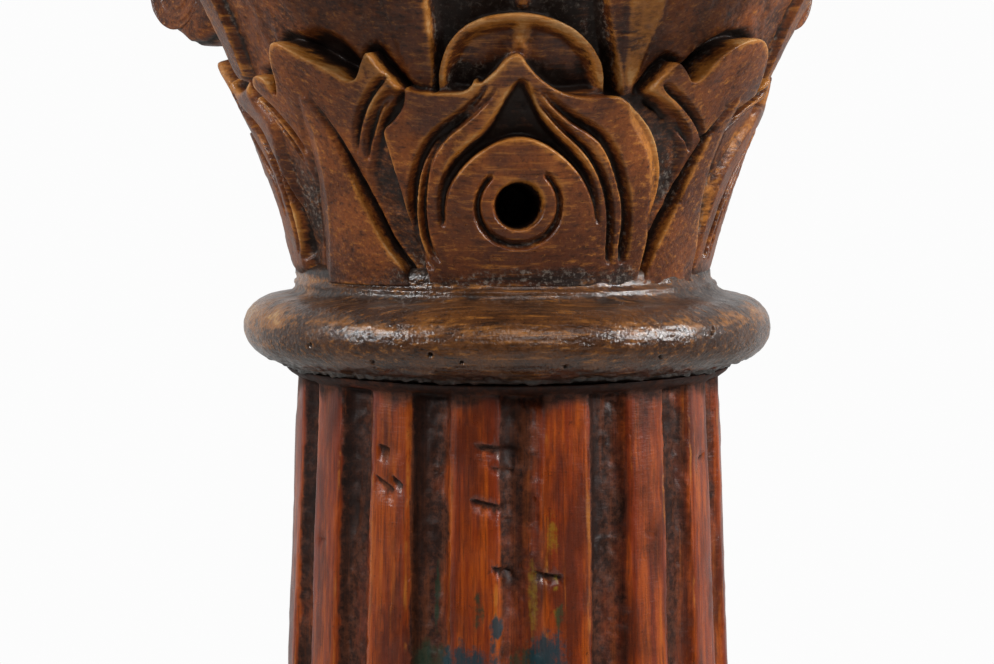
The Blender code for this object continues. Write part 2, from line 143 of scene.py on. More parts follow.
world = bpy.data.worlds.new("white room")
bpy.context.scene.world = world
world.use_nodes = True
world.node_tree.nodes.clear()
direct = add_node(world.node_tree, "ShaderNodeLightPath").outputs["Is Camera Ray"]
away = add_node(world.node_tree, "ShaderNodeTexCoord").outputs["Generated"]
away = add_node(world.node_tree, "ShaderNodeSeparateXYZ", {0: away}).outputs["Y"]
room = add_node(world.node_tree, "ShaderNodeMapRange", {0: away, 1: -0.7, 2: 0.35, 3: ROOM_LIGHT[0],
                                                        4: ROOM_LIGHT[1]}).outputs[0]
strength = add_node(world.node_tree, "ShaderNodeMapRange", {0: direct, 3: room, 4: SEEN_WHITE})
background = add_node(world.node_tree, "ShaderNodeBackground", {0: (1, 1, 1, 1), 1: strength.outputs[0]})
add_node(world.node_tree, "ShaderNodeOutputWorld", {0: background.outputs[0]})

for number, (angle, rise, distance, side, watts) in enumerate(SOFT_BOXES):
    lamp = bpy.data.lights.new(f"soft_box_{number}", "AREA")
    lamp.energy = watts
    lamp.size = side
    stand = add_object(lamp.name, lamp)
    turn = math.radians(angle)
    stand.location = (distance * math.sin(turn), -distance * math.cos(turn), joint_z + rise)
    aim = Vector((0, 0, joint_z + 0.04)) - stand.location
    stand.rotation_euler = aim.to_track_quat("-Z", "Y").to_euler()

# Plinth.
# A square block sawn from softwood, its edges broken with a plane, stained dark brown and waxed. It
# lies on the floor and carries the turned base.

PLINTH_CELL = 4 * MM
PLINTH_ROUNDING = 3.5 * MM
LATTICE = 32                        # cells of the noise lattice along each axis


def unevenness(points, lump, seed):
    """Smooth noise from -1 to 1 at points in metres, with lumps of a size in millimetres."""
    lattice = np.random.default_rng(seed).uniform(-1, 1, (LATTICE,) * 3)
    scaled = np.asarray(points) / (lump * MM)
    cell = np.floor(scaled).astype(int)
    part = scaled - cell
    part = part * part * (3 - 2 * part)
    total = np.zeros(scaled.shape[:-1])
    for step in np.ndindex(2, 2, 2):
        weight = np.prod(np.where(step, part, 1 - part), axis=-1)
        at = (cell + step) % LATTICE
        total += weight * lattice[at[..., 0], at[..., 1], at[..., 2]]
    return total


def vertices_of(mesh):
    """The positions of a mesh's vertices, one row each."""
    flat = np.empty(len(mesh.vertices) * 3)
    mesh.vertices.foreach_get("co", flat)
    return flat.reshape(-1, 3)


def set_vertices(mesh, points):
    """Puts a mesh's vertices where the rows of an array say."""
    mesh.vertices.foreach_set("co", np.asarray(points, np.float32).ravel())
    mesh.update()


def normals_of(mesh):
    """The normals at a mesh's vertices, one row each."""
    flat = np.empty(len(mesh.vertices) * 3)
    mesh.vertex_normals.foreach_get("vector", flat)
    return flat.reshape(-1, 3)


def mark(mesh, name, values):
    """Keeps a number for each vertex, from 0 to 1, for the materials to read."""
    attribute = mesh.attributes.new(name, "FLOAT", "POINT")
    attribute.data.foreach_set("value", np.clip(values, 0, 1).astype(np.float32))


def finish_piece(obj, material, slot, *nodes):
    """Gives a piece its material, smooth shading and its place in the frame."""
    obj.data.materials.clear()
    obj.data.materials.append(material)
    obj.data.shade_smooth()
    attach(obj, "root")
    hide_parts(*nodes)


def wood_patterns(tree, patterns, marks, shift=0.0):
    """Named values that a wood's look is worked out from: patterns in it, and marks kept on its mesh.

    A pattern is its name, its stretch along each axis (None for an even one), its scale, its detail and
    its roughness.
    """
    place = add_node(tree, "ShaderNodeTexCoord").outputs["Object"]
    place = add_node(tree, "ShaderNodeMapping", {"Vector": place, "Location": (shift, 0, shift)}).outputs[0]
    values = {"place": place}
    for name, stretch, scale, detail, rough in patterns:
        vector = place
        if stretch:
            vector = add_node(tree, "ShaderNodeMapping", {"Vector": place, "Scale": stretch}).outputs[0]
        values[name] = add_node(tree, "ShaderNodeTexNoise", {"Vector": vector, "Scale": scale,
                                                             "Detail": detail, "Roughness": rough}).outputs[0]
    for name in marks:
        values[name] = add_node(tree, "ShaderNodeAttribute", attribute_name=name).outputs["Fac"]
    return values


def work_out(tree, values, steps):
    """Adds the steps of a calculation to a tree and keeps each one's value under its name.

    A step is its name, a maths operation, and its inputs, which are numbers or names of earlier values.
    The operation EASE takes a value, two bounds, and what it eases from and to between them.
    """
    for name, operation, *parts in steps:
        inputs = {i: values.get(part, part) for i, part in enumerate(parts)}
        if operation == "EASE":
            node = add_node(tree, "ShaderNodeMapRange", inputs, interpolation_type="SMOOTHSTEP")
        else:
            node = add_node(tree, "ShaderNodeMath", inputs, operation=operation)
        values[name] = node.outputs[0]


def stained(tree, values, tint, layers):
    """Lays colours over a tint, one after another, and gives the last result.

    A layer is its colour, the name of the value that says how much of it there is, and, where that value
    is to be eased first, two bounds and the amounts at them.
    """
    for code, name, *bounds in layers:
        if bounds:
            work_out(tree, values, (("amount", "EASE", name, *bounds),))
            name = "amount"
        over = colour(code) if isinstance(code, str) else code
        tint = add_node(tree, "ShaderNodeMix", {0: values[name], 6: tint, 7: over},
                        data_type="RGBA").outputs[2]
    return tint


def patinated_wood(name, tones, gold_and_highlight, dirt_and_shade, dust, roughness=0.40, grain_depth=0.00012, grain=0.5,
                   coat=0.0, crackle=0.0, seed=0.0):
    """Old carved wood under stain and wax, its grain along X.

    The stain is mottled between three tones over a fine grain. Rubbed edges are golden, and their most
    worn spots are pale bare wood; the same gold and pale wood also give painted highlight and painted
    light. Hollows hold near-black dirt and painted shade, with a little grey wax dust, and the wax gives
    a soft, uneven gloss. Where it lies thick it has crackled into cells of about a millimetre.
    """
    material, tree = new_material(name)
    # Lumps of 14 and 42 mm, fibre bundles 1.5 mm across and 25 mm long, and specks of 1.6 mm.
    values = wood_patterns(tree, (("mottle", None, 70.0, 6.0, 0.66), ("cloud", None, 24.0, 3.0, 0.55),
                                  ("fibre", (40, 650, 650), 1.0, 6.0, 0.72),
                                  ("speck", None, 620.0, 4.0, 0.75)), ("rubbed_and_lit", "grime_and_shade"), seed)
    values["cells"] = add_node(tree, "ShaderNodeTexVoronoi", {"Vector": values["place"], "Scale": 950.0},
                               feature="SMOOTH_F1").outputs["Distance"]
    work_out(tree, values, (
        ("ragged fibre", "EASE", "fibre", 0.3, 0.7, -0.22, 0.22),
        ("ragged mottle", "EASE", "mottle", 0.35, 0.65, -0.16, 0.16),
        ("ragged", "ADD", "ragged fibre", "ragged mottle"),
        ("bare_and_lit", "ADD", "rubbed_and_lit", "ragged"),
        ("soot_and_shade", "MULTIPLY_ADD", "ragged", -0.7, "grime_and_shade"),
        ("dusty", "EASE", "grime_and_shade", 0.14, 0.45, 0.0, 0.75),
        ("not too deep", "EASE", "grime_and_shade", 1.0, 0.6, 0.3, 1.0),
        ("powder", "MULTIPLY", "dusty", "not too deep"),
        ("flecks", "EASE", "speck", 0.50, 0.66, 0.0, 1.0),
        ("powder", "MULTIPLY", "powder", "flecks"),
        ("patches", "EASE", "cloud", 0.48, 0.60, 0.10, 0.9),
        ("powder", "MULTIPLY", "powder", "patches"),
        ("smoothness", "EASE", "mottle", 0.3, 0.7, roughness - 0.08, roughness + 0.12),
        ("dullness", "EASE", "soot_and_shade", 0.1, 0.8, 0.0, 0.25),
        ("gloss", "ADD", "smoothness", "dullness"),
        ("relief", "MULTIPLY", "fibre", 0.55),
        ("relief", "MULTIPLY_ADD", "speck", 0.45, "relief"),
        ("relief", "MULTIPLY_ADD", "cells", -crackle, "relief")))
    tint = stained(tree, values, colour(tones[0]), (
        (tones[1], "mottle", 0.38, 0.62, 0.0, 1.0),
        (tones[2], "cloud", 0.44, 0.64, 0.0, 0.75),
        (gold_and_highlight, "fibre", 0.52, 0.70, 0.0, 0.9 * grain),
        (dirt_and_shade, "fibre", 0.30, 0.48, 1.2 * grain, 0.0),
        (dirt_and_shade, "speck", 0.30, 0.46, 0.55, 0.0),
        (gold_and_highlight, "speck", 0.58, 0.74, 0.0, 0.40),
        # Gold and pale wood over rubbed places: real wear, plus painted highlight along crisp edges and
        # painted light where the rubbed mark carries it.
        (gold_and_highlight, "bare_and_lit", 0.16, 0.85, 0.0, 0.85),
        ("#d0a46a", "bare_and_lit", 0.82, 1.20, 0.0, 0.55),
        # Near-black over grimy places: real dirt, plus painted shade in hollows and under overhangs where the
        # grime mark carries it.
        (dirt_and_shade, "soot_and_shade", 0.14, 0.80, 0.0, 0.96),
        (dust, "powder"),
        (dirt_and_shade, "cells", 0.42, 0.70, 0.0, 0.5 * crackle)))
    bump = add_node(tree, "ShaderNodeBump", {"Height": values["relief"], "Distance": grain_depth,
                                             "Strength": 0.9})
    shader = add_node(tree, "ShaderNodeBsdfPrincipled", {
        "Base Color": tint, "Roughness": values["gloss"], "Specular IOR Level": 0.3,
        "Normal": bump.outputs[0], "Coat Weight": coat, "Coat Roughness": 0.15,
        "Coat Normal": bump.outputs[0]})
    add_node(tree, "ShaderNodeOutputMaterial", {"Surface": shader.outputs[0]})
    return material


dark_wood = patinated_wood("softwood stained dark brown and waxed", ("#40271a", "#593722", "#301d14"),
                           "#7d4f28", "#1a100a", "#6f645a", seed=3.1)

low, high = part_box("plinth")
middle, size = (low + high) / 2, high - low
bm = bmesh.new()
bmesh.ops.create_cube(bm, size=1.0)
bmesh.ops.scale(bm, vec=size, verts=bm.verts)
bmesh.ops.translate(bm, vec=middle, verts=bm.verts)
top_edges = [e for e in bm.edges if any(v.co.z > middle.z for v in e.verts)]
bmesh.ops.bevel(bm, geom=top_edges, offset=PLINTH_ROUNDING, segments=4, profile=0.5, affect="EDGES")
for axis in range(3):
    normal = Vector([float(i == axis) for i in range(3)])
    cuts = int(size[axis] / PLINTH_CELL) - 1
    for i in range(1, cuts):
        spot = Vector(low)
        spot[axis] += size[axis] * i / cuts
        bmesh.ops.bisect_plane(bm, geom=bm.verts[:] + bm.edges[:] + bm.faces[:], plane_co=spot,
                               plane_no=normal)
plinth_mesh = bpy.data.meshes.new("plinth")
bm.to_mesh(plinth_mesh)
bm.free()
points = vertices_of(plinth_mesh)
# A place is near an edge where it is far out along two axes.
from_middle = np.abs(points - np.array(middle)) / (np.array(size) / 2)
edge_nearness = np.clip((np.sort(from_middle, axis=1)[:, 1] - 0.94) / 0.06, 0, 1)
dents = np.clip(unevenness(points, 14, 12), 0, 1)
sag = 0.25 + 0.25 * unevenness(points, 45, 11) + 0.9 * edge_nearness * dents
sag[points[:, 2] < low.z + MM] = 0
points -= normals_of(plinth_mesh) * (sag * MM)[:, None]
set_vertices(plinth_mesh, points)
mark(plinth_mesh, "rubbed_and_lit", edge_nearness * (0.75 + 0.4 * unevenness(points, 20, 13)))
mark(plinth_mesh, "grime_and_shade", 0.18 + 0.2 * unevenness(points, 30, 14))
finish_piece(add_object("plinth_block", plinth_mesh), dark_wood, "dark_wood", "plinth")

# Base.
# A moulding turned on the lathe in one piece, stained and waxed like the plinth: a large bead at the
# foot, a hollow, and a small bead under the shaft.

BASE_FOOT = ((0.0, 0.0), (0.134, 0.0), (0.1405, 0.0015))     # (radius, height) from the axis outwards
BASE_BEADS = (                      # radius, height, reach (negative for a hollow), first and last angle
    (0.127, 0.017, 0.0148, -62, 74),
    (0.129, 0.045, -0.0110, -58, 58),
    (0.118, 0.066, 0.0069, -70, 72))
BASE_TOP = ((0.1155, 0.0775), (0.0, 0.0779))
BASE_COLUMNS = 300                  # facets round it


def settle(obj):
    """Keeps what an object's modifier makes as its plain mesh."""
    graph = bpy.context.evaluated_depsgraph_get()
    mesh = bpy.data.meshes.new_from_object(obj.evaluated_get(graph))
    obj.modifiers.clear()
    obj.data = mesh
    return mesh


def run_tree(obj, tree, values):
    """Runs a node tree on an object with values for its named inputs."""
    modifier = obj.modifiers.new(tree.name, "NODES")
    modifier.node_group = tree
    for item in tree.interface.items_tree:
        if item.in_out == "INPUT" and item.name in values:
            modifier[item.identifier] = values[item.name]
    return settle(obj)


def new_tree(name, given, sockets):
    """A node tree with one geometry and other named inputs, and its input sockets by name."""
    tree = bpy.data.node_groups.new(name, "GeometryNodeTree")
    for socket, kind in ((given, "Geometry"), *sockets, ("Material", "Material")):
        tree.interface.new_socket(socket, in_out="INPUT", socket_type="NodeSocket" + kind)
    tree.interface.new_socket("Piece", in_out="OUTPUT", socket_type="NodeSocketGeometry")
    return tree, dict(add_node(tree, "NodeGroupInput").outputs.items())


def end_tree(tree, sheet, values):
    """Joins a wrapped sheet's meeting edges and gives it its material."""
    joined = add_node(tree, "GeometryNodeMergeByDistance", {0: sheet, "Distance": 0.01 * MM}).outputs[0]
    real = add_node(tree, "GeometryNodeRealizeInstances", {0: joined}).outputs[0]
    done = add_node(tree, "GeometryNodeSetMaterial", {0: real, "Material": values["Material"]}).outputs[0]
    add_node(tree, "NodeGroupOutput", {0: done})


def turning_tree():
    """Node tree that spins a profile round the column's axis, as a lathe does.

    The profile is a line whose x is the radius less the reach, and whose y is the depth below zero.
    """
    tree, values = new_tree("turned on the lathe", "Profile", (("Steps", "Int"), ("Reach", "Float")))
    line = add_node(tree, "GeometryNodeMeshToCurve", {0: values["Profile"]}).outputs[0]
    circle = add_node(tree, "GeometryNodeCurvePrimitiveCircle",
                      {"Resolution": values["Steps"], "Radius": values["Reach"]}).outputs[0]
    sheet = add_node(tree, "GeometryNodeCurveToMesh", {"Curve": circle, "Profile Curve": line}).outputs[0]
    end_tree(tree, sheet, values)
    return tree


def close_up(mesh):
    """Closes any open rim of a mesh and turns its faces outwards."""
    bm = bmesh.new()
    bm.from_mesh(mesh)
    bmesh.ops.holes_fill(bm, edges=[e for e in bm.edges if e.is_boundary], sides=0)
    bmesh.ops.recalc_face_normals(bm, faces=bm.faces)
    bm.to_mesh(mesh)
    bm.free()


def turn_profile(name, profile, bottom, steps, material):
    """A closed turned piece from (radius, height) pairs that start and end on the axis."""
    reach = 0.1
    mesh = bpy.data.meshes.new(name)
    mesh.from_pydata([(r - reach, -bottom - h, 0.0) for r, h in profile],
                     [(i, i + 1) for i in range(len(profile) - 1)], [])
    obj = add_object(name, mesh)
    close_up(run_tree(obj, turning, {"Steps": steps, "Reach": reach, "Material": material}))
    return obj


def arc(radius, height, reach, rise, start, end, step=0.0011):
    """Points along a rounded moulding, from one angle of its section to another."""
    count = max(3, int(abs(math.radians(end - start) * reach) / step))
    turns = np.radians(np.linspace(start, end, count + 1))
    return [(radius + reach * math.cos(t), height + rise * math.sin(t)) for t in turns]


turning = turning_tree()
profile = list(BASE_FOOT)
for radius, height, reach, start, end in BASE_BEADS:
    profile += arc(radius, height, reach, abs(reach), start, end)
profile += BASE_TOP
base_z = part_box("base")[0].z
base = turn_profile("base_moulding", profile, base_z, BASE_COLUMNS, dark_wood)
points = vertices_of(base.data)
radii = np.hypot(points[:, 0], points[:, 1])
local = points[:, 2] - base_z
lathe_lines = 0.12 * np.sin(local / (1.7 * MM)) * unevenness(points, 30, 21)
wear = (0.35 * unevenness(points, 22, 22) + lathe_lines - 0.25) * MM
wear[radii < 0.11] = 0
points[:, :2] *= (1 + wear / np.maximum(radii, 0.05))[:, None]
set_vertices(base.data, points)
bulge = np.maximum.reduce([np.clip((radii - r) / reach - 0.8, 0, 0.2) * 5 * (np.abs(local - h) < reach)
                           for r, h, reach, _, _ in BASE_BEADS if reach > 0])
pit = np.clip((0.1205 - radii) / 0.004, 0, 1) * (local > 0.034) * (local < 0.057)
seam = np.clip(1 - np.abs(local - 0.0325) / 0.004, 0, 1) + np.clip(1 - np.abs(local - 0.0575) / 0.003, 0, 1)
mark(base.data, "rubbed_and_lit", bulge * (0.6 + 0.5 * unevenness(points, 16, 23)))
mark(base.data, "grime_and_shade", 0.15 + 0.35 * pit + 0.6 * seam + 0.2 * unevenness(points, 26, 24))
finish_piece(base, dark_wood, "dark_wood", "base")

# Shaft.
# A tapering softwood trunk with sixteen hollow flutes cut between flat fillets, stained orange-red and
# varnished. The flutes are rough from the gouge and nearly black. A small dark fillet ends it at the top.

SHAFT_TOP_RADIUS = 76.4 * MM
SHAFT_TAPER = 0.045                 # growth of the radius for each metre below the top
SHAFT_SWELLING = 0.010              # what the taper loses again, for each square metre
COLLAR_REACH = 4.3 * MM             # how far the edge under the ring stands out
COLLAR_HEIGHT = 4.0 * MM
COLLAR_STEP = 1.2 * MM              # height over which the flutes begin under it
FLUTES = 16
FLUTE_WIDTH = 0.49                  # share of the pitch
FLUTE_DEPTH = 4.4 * MM
FLUTE_FOOT = 45 * MM                # plain band left under the flutes
FLUTE_END = 7 * MM                  # half of the height over which they end there
FOOT_FLARE = 6 * MM
FLARE_START = 22 * MM               # below the flutes
FLARE_END = 12 * MM                 # above the trunk's end
SHAFT_COLUMNS = 1056
SHAFT_ROWS = 420
SHAFT_FACES = 190_000               # triangles kept

shaft_low, shaft_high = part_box("shaft")


def fluted_tree():
    """Node tree of a tapering fluted trunk, wrapped from a flat grid: rows run down, columns round.

    Rows lie close together at the top, where the wood is seen, and far apart lower down.
    """
    tree, values = new_tree("fluted trunk", "Geometry", (
        ("Columns", "Int"), ("Rows", "Int"), ("Top", "Float"), ("Height", "Float"), ("Radius", "Float"),
        ("Taper", "Float"), ("Swelling", "Float"), ("Collar Reach", "Float"), ("Collar Height", "Float"),
        ("Collar Step", "Float"), ("Flutes", "Int"), ("Flute Width", "Float"), ("Flute Depth", "Float"),
        ("Flute Foot", "Float"), ("Flute End", "Float"), ("Foot Flare", "Float"), ("Flare Start", "Float"),
        ("Flare End", "Float")))
    grid = add_node(tree, "GeometryNodeMeshGrid", {"Size X": 1.0, "Size Y": 1.0,
                                                   "Vertices X": values["Columns"],
                                                   "Vertices Y": values["Rows"]}).outputs[0]
    place = add_node(tree, "GeometryNodeInputPosition").outputs[0]
    values.update(add_node(tree, "ShaderNodeSeparateXYZ", {0: place}).outputs.items())
    work_out(tree, values, (
        ("down", "SUBTRACT", 0.5, "Y"),
        ("crowded rows", "POWER", "down", 4.0),
        ("even rows", "MULTIPLY", "down", 0.28),
        ("spread", "MULTIPLY_ADD", "crowded rows", 0.72, "even rows"),
        ("drop", "MULTIPLY", "spread", "Height"),
        ("swell", "MULTIPLY", "drop", "Swelling"),
        ("bend", "SUBTRACT", "Taper", "swell"),
        ("trunk", "MULTIPLY_ADD", "drop", "bend", "Radius"),
        ("lip", "EASE", "drop", 0.0, "Collar Height", 1.0, 0.0),
        ("full lip", "POWER", "lip", 0.7),
        ("trunk", "MULTIPLY_ADD", "full lip", "Collar Reach", "trunk"),
        ("foot", "SUBTRACT", "Height", "Flute Foot"),
        ("flare start", "ADD", "foot", "Flare Start"),
        ("flare end", "SUBTRACT", "Height", "Flare End"),
        ("flare", "EASE", "drop", "flare start", "flare end", 0.0, 1.0),
        ("trunk", "MULTIPLY_ADD", "flare", "Foot Flare", "trunk"),
        ("flute", "MULTIPLY", "X", "Flutes"),
        ("nearest flute", "ROUND", "flute"),
        ("beside flute", "SUBTRACT", "flute", "nearest flute"),
        ("from middle", "ABSOLUTE", "beside flute"),
        ("of whole pitch", "MULTIPLY", "from middle", 2.0),
        ("of flute", "DIVIDE", "of whole pitch", "Flute Width"),
        ("across", "MINIMUM", "of flute", 1.0),
        ("bank", "POWER", "across", 3.5),
        ("hollow", "SUBTRACT", 1.0, "bank"),
        ("step", "SUBTRACT", "Collar Height", "Collar Step"),
        ("begun", "EASE", "drop", "step", "Collar Height", 0.0, 1.0),
        ("end start", "SUBTRACT", "foot", "Flute End"),
        ("end stop", "ADD", "foot", "Flute End"),
        ("not ended", "EASE", "drop", "end start", "end stop", 1.0, 0.0),
        ("full cut", "MULTIPLY", "hollow", "Flute Depth"),
        ("share", "MULTIPLY", "begun", "not ended"),
        ("cut", "MULTIPLY", "full cut", "share"),
        ("radius", "SUBTRACT", "trunk", "cut"),
        ("turn", "MULTIPLY", "X", math.tau),
        ("sine", "SINE", "turn"),
        ("right", "MULTIPLY", "radius", "sine"),
        ("cosine", "COSINE", "turn"),
        ("forward", "MULTIPLY", "cosine", -1.0),
        ("back", "MULTIPLY", "radius", "forward"),
        ("up", "SUBTRACT", "Top", "drop")))
    spot = add_node(tree, "ShaderNodeCombineXYZ", {0: values["right"], 1: values["back"],
                                                   2: values["up"]}).outputs[0]
    wrapped = add_node(tree, "GeometryNodeSetPosition", {0: grid, "Position": spot}).outputs[0]
    end_tree(tree, wrapped, values)
    return tree


def thin_out(obj, triangles):
    """Merges faces where the surface is plain, until about this many triangles are left."""
    now = sum(len(face.vertices) - 2 for face in obj.data.polygons)
    modifier = obj.modifiers.new("plain parts merged", "DECIMATE")
    modifier.ratio = min(1.0, triangles / now)
    return settle(obj)


def unrolled(points, zero):
    """Angle in degrees from -Y, height in mm above a level, and radius in mm of points in metres."""
    angle = np.degrees(np.arctan2(points[:, 0], -points[:, 1]))
    return angle, (points[:, 2] - zero) / MM, np.hypot(points[:, 0], points[:, 1]) / MM


def flute_place(angle):
    """Where a place lies beside the middle of its flute: 0 there, 1 at the fillet, more on the fillet.

    It is positive to the right of the middle and negative to the left.
    """
    pitch = 360 / FLUTES
    return ((angle / pitch + 0.5) % 1 - 0.5) * 2 / FLUTE_WIDTH


# Chops and dents on the front of the shaft, as (angle, height in mm of the steep upper edge, half width
# in degrees, length downwards in mm, depth in mm, tilt in mm for each degree).
SHAFT_CUTS = (
    (-5.4, -20.4, 6.4, 7.6, 1.5, -0.16), (-5.0, -27.6, 3.0, 2.6, 0.9, -0.30),
    (-8.4, -38.6, 4.1, 5.4, 1.7, -0.32), (-4.6, -60.6, 2.8, 3.6, 1.5, -0.40),
    (6.6, -62.4, 3.6, 3.8, 1.9, -0.20), (2.2, -4.8, 2.8, 5.4, 1.4, 0.0),
    (-35.6, -21.8, 1.9, 6.2, 1.5, -0.3), (-35.2, -33.4, 3.3, 7.0, 1.2, -0.7),
    (-31.4, -32.6, 1.7, 4.2, 1.5, -0.9), (56.8, -28.8, 2.2, 3.2, 0.8, 0.3),
    (34.0, -51.2, 2.0, 2.4, 0.5, -0.4), (24.0, -6.6, 2.2, 4.2, 0.9, -0.3),
    (-57.0, -56.2, 1.8, 4.4, 0.6, 0.2))


def in_cut(angle, height, at, upper_edge, half_width, length, depth, tilt):
    """How deep places are in a chop, in mm: steep at its upper edge, running out below."""
    across = 1 - ((angle - at) / half_width) ** 2
    down = (upper_edge + tilt * (angle - at) - height) / length
    return depth * np.sqrt(np.clip(across, 0, 1)) * np.clip(down / 0.14, 0, 1) * np.clip(1 - down, 0, 1)


def shaft_wear(points):
    """How far the worn and tool-marked shaft lies under its true surface, in metres."""
    angle, height, _ = unrolled(points, joint_z)
    place = np.abs(flute_place(angle))
    on_fillet = np.clip((place - 0.92) / 0.16, 0, 1)
    stretched = points * (1, 1, 0.35)
    low = 0.30 * unevenness(stretched, 11, 31) + 0.16 * unevenness(points, 4.2, 32)
    tool = np.abs(unevenness(points * (1, 1, 0.7), 3.4, 33)) + 0.6 * np.abs(unevenness(points, 1.7, 34))
    low += (1 - on_fillet) * (0.70 * tool - 0.3 + 0.7 * unevenness(stretched, 9, 37))
    edge = np.exp(-((place - 1.02) / 0.12) ** 2)
    low += edge * (0.40 + 0.6 * np.clip(unevenness(stretched, 9, 35), 0, 1)
                   + 0.6 * np.clip(unevenness(points, 3.2, 36) - 0.3, 0, 1))
    for cut in SHAFT_CUTS:
        low += 1.35 * in_cut(angle, height, *cut)
    lower_end = np.clip((points[:, 2] - shaft_low.z) / (8 * MM), 0, 1)
    return low * MM * lower_end * np.clip(-height / 4, 0.35, 1)


# Remnants of paint, as (name, colour, how well it covers, its patches), and a patch as (angle, height,
# half width in degrees, half height in mm).
PAINTS = (
    ("yellow_paint", "#8a7418", 0.46, ((7.6, -50, 1.6, 9.0), (3.0, -70, 1.4, 16.0), (8.4, -71, 1.2, 9.0))),
    ("green_paint", "#173020", 0.8, ((-22, -94, 5.2, 8.0), (1.5, -94, 5.0, 8.0), (9.0, -76, 1.2, 6.0),
                                     (-10.5, -74, 0.8, 12.0), (-21.5, -72, 0.9, 14))),
    ("blue_paint", "#0c3139", 0.92, ((-12.6, -95, 8.4, 9.5), (-6.0, -80, 1.7, 3.4), (6.4, -90, 5.4, 9.0))))


def varnished_shaft_wood():
    """Softwood under an orange-red stain and an old, glossy varnish.

    The grain runs down the trunk. The fillets' edges are rubbed to gold, the flutes hold black dirt, and
    a few remnants of green, blue and yellow paint are left. The same near-black also gives painted shade
    under the ring, under the chops' upper edges and on the flutes' left halves.
    """
    material, tree = new_material("softwood under orange-red stain and varnish")
    # Year rings show as streaks about 3 mm wide and 150 mm long, fibres as streaks a fifth as wide. The
    # varnish has fine ripples across the grain, not quite a millimetre apart.
    values = wood_patterns(tree, (("rings", (300, 300, 7), 1.0, 5.0, 0.65),
                                  ("fibres", (1500, 1500, 40), 1.0, 3.0, 0.6),
                                  ("patch", (110, 110, 22), 1.0, 5.0, 0.6),
                                  ("ripples", (160, 160, 1300), 1.0, 2.0, 0.55),
                                  ("mottle", None, 75.0, 6.0, 0.68), ("crackle", None, 380.0, 4.0, 0.72)),
                           ("rubbed_and_lit", "grime_and_shade", *(name for name, *_ in PAINTS)))
    work_out(tree, values, (
        ("ragged rings", "EASE", "rings", 0.3, 0.7, -0.25, 0.25),
        ("bare_and_lit", "ADD", "rubbed_and_lit", "ragged rings"),
        ("ragged mottle", "EASE", "mottle", 0.35, 0.65, -0.15, 0.15),
        ("bare_and_lit", "ADD", "bare_and_lit", "ragged mottle"),
        ("blotches", "EASE", "mottle", 0.3, 0.7, 0.14, -0.14),
        ("soot_and_shade", "ADD", "grime_and_shade", "blotches"),
        ("streaky", "EASE", "rings", 0.3, 0.7, -0.26, 0.26),
        ("crumbly", "EASE", "crackle", 0.3, 0.7, -0.16, 0.16),
        ("smoothness", "EASE", "mottle", 0.3, 0.7, 0.26, 0.40),
        ("dullness", "EASE", "soot_and_shade", 0.2, 0.8, 0.0, 0.24),
        ("gloss", "ADD", "smoothness", "dullness"),
        ("coat", "EASE", "soot_and_shade", 0.2, 0.7, 0.16, 0.0),
        ("sheen", "EASE", "soot_and_shade", 0.2, 0.7, 0.5, 0.24),
        ("relief", "MULTIPLY", "fibres", 0.3),
        ("relief", "MULTIPLY_ADD", "crackle", 0.6, "relief"),
        ("relief", "MULTIPLY_ADD", "ripples", 0.35, "relief")))
    leather = stained(tree, values, colour("#1f100a"), (
        ("#4c2a1b", "crackle", 0.40, 0.64, 0.0, 1.0),
        ("#663216", "rings", 0.52, 0.66, 0.0, 0.6),
        ("#120805", "soot_and_shade", 0.72, 1.02, 0.0, 0.8)))
    tint = stained(tree, values, colour("#74290a"), (
        ("#9c440c", "rings", 0.38, 0.60, 0.0, 1.0),
        ("#4f1d0b", "patch", 0.44, 0.64, 0.0, 0.9),
        ("#b25f16", "rings", 0.56, 0.72, 0.0, 0.65),
        ("#3d160a", "fibres", 0.34, 0.50, 0.5, 0.0),
        ("#a8641f", "bare_and_lit", 0.25, 0.95, 0.0, 0.8),
        (leather, "soot_and_shade", 0.20, 0.70, 0.0, 0.96),
        ("#1c0f0a", "crackle", 0.60, 0.70, 0.0, 0.45)))
    for name, code, most, _ in PAINTS:
        work_out(tree, values, (("left", "ADD", name, "streaky"), ("left", "ADD", "left", "crumbly")))
        tint = stained(tree, values, tint, ((code, "left", 0.50, 1.00, 0.0, most),))
    bump = add_node(tree, "ShaderNodeBump", {"Height": values["relief"], "Distance": 0.24 * MM,
                                             "Strength": 0.9})
    shader = add_node(tree, "ShaderNodeBsdfPrincipled", {
        "Base Color": tint, "Roughness": values["gloss"], "IOR": 1.47, "Normal": bump.outputs[0],
        "Specular IOR Level": values["sheen"], "Coat Weight": values["coat"], "Coat Roughness": 0.16})
    add_node(tree, "ShaderNodeOutputMaterial", {"Surface": shader.outputs[0]})
    return material


shaft_wood = varnished_shaft_wood()
shaft = add_object("fluted_shaft", bpy.data.meshes.new("fluted_shaft"))
mesh = run_tree(shaft, fluted_tree(), {
    "Columns": SHAFT_COLUMNS + 1, "Rows": SHAFT_ROWS, "Top": shaft_high.z,
    "Height": shaft_high.z - shaft_low.z, "Radius": SHAFT_TOP_RADIUS, "Taper": SHAFT_TAPER,
    "Swelling": SHAFT_SWELLING, "Collar Reach": COLLAR_REACH, "Collar Height": COLLAR_HEIGHT,
    "Collar Step": COLLAR_STEP, "Flutes": FLUTES, "Flute Width": FLUTE_WIDTH, "Flute Depth": FLUTE_DEPTH,
    "Flute Foot": FLUTE_FOOT, "Flute End": FLUTE_END, "Foot Flare": FOOT_FLARE,
    "Flare Start": FLARE_START, "Flare End": FLARE_END, "Material": shaft_wood})
points = vertices_of(mesh)
radius = np.hypot(points[:, 0], points[:, 1])
points[:, :2] *= (1 - shaft_wear(points) / radius)[:, None]
set_vertices(mesh, points)
close_up(mesh)
mesh = thin_out(shaft, SHAFT_FACES)

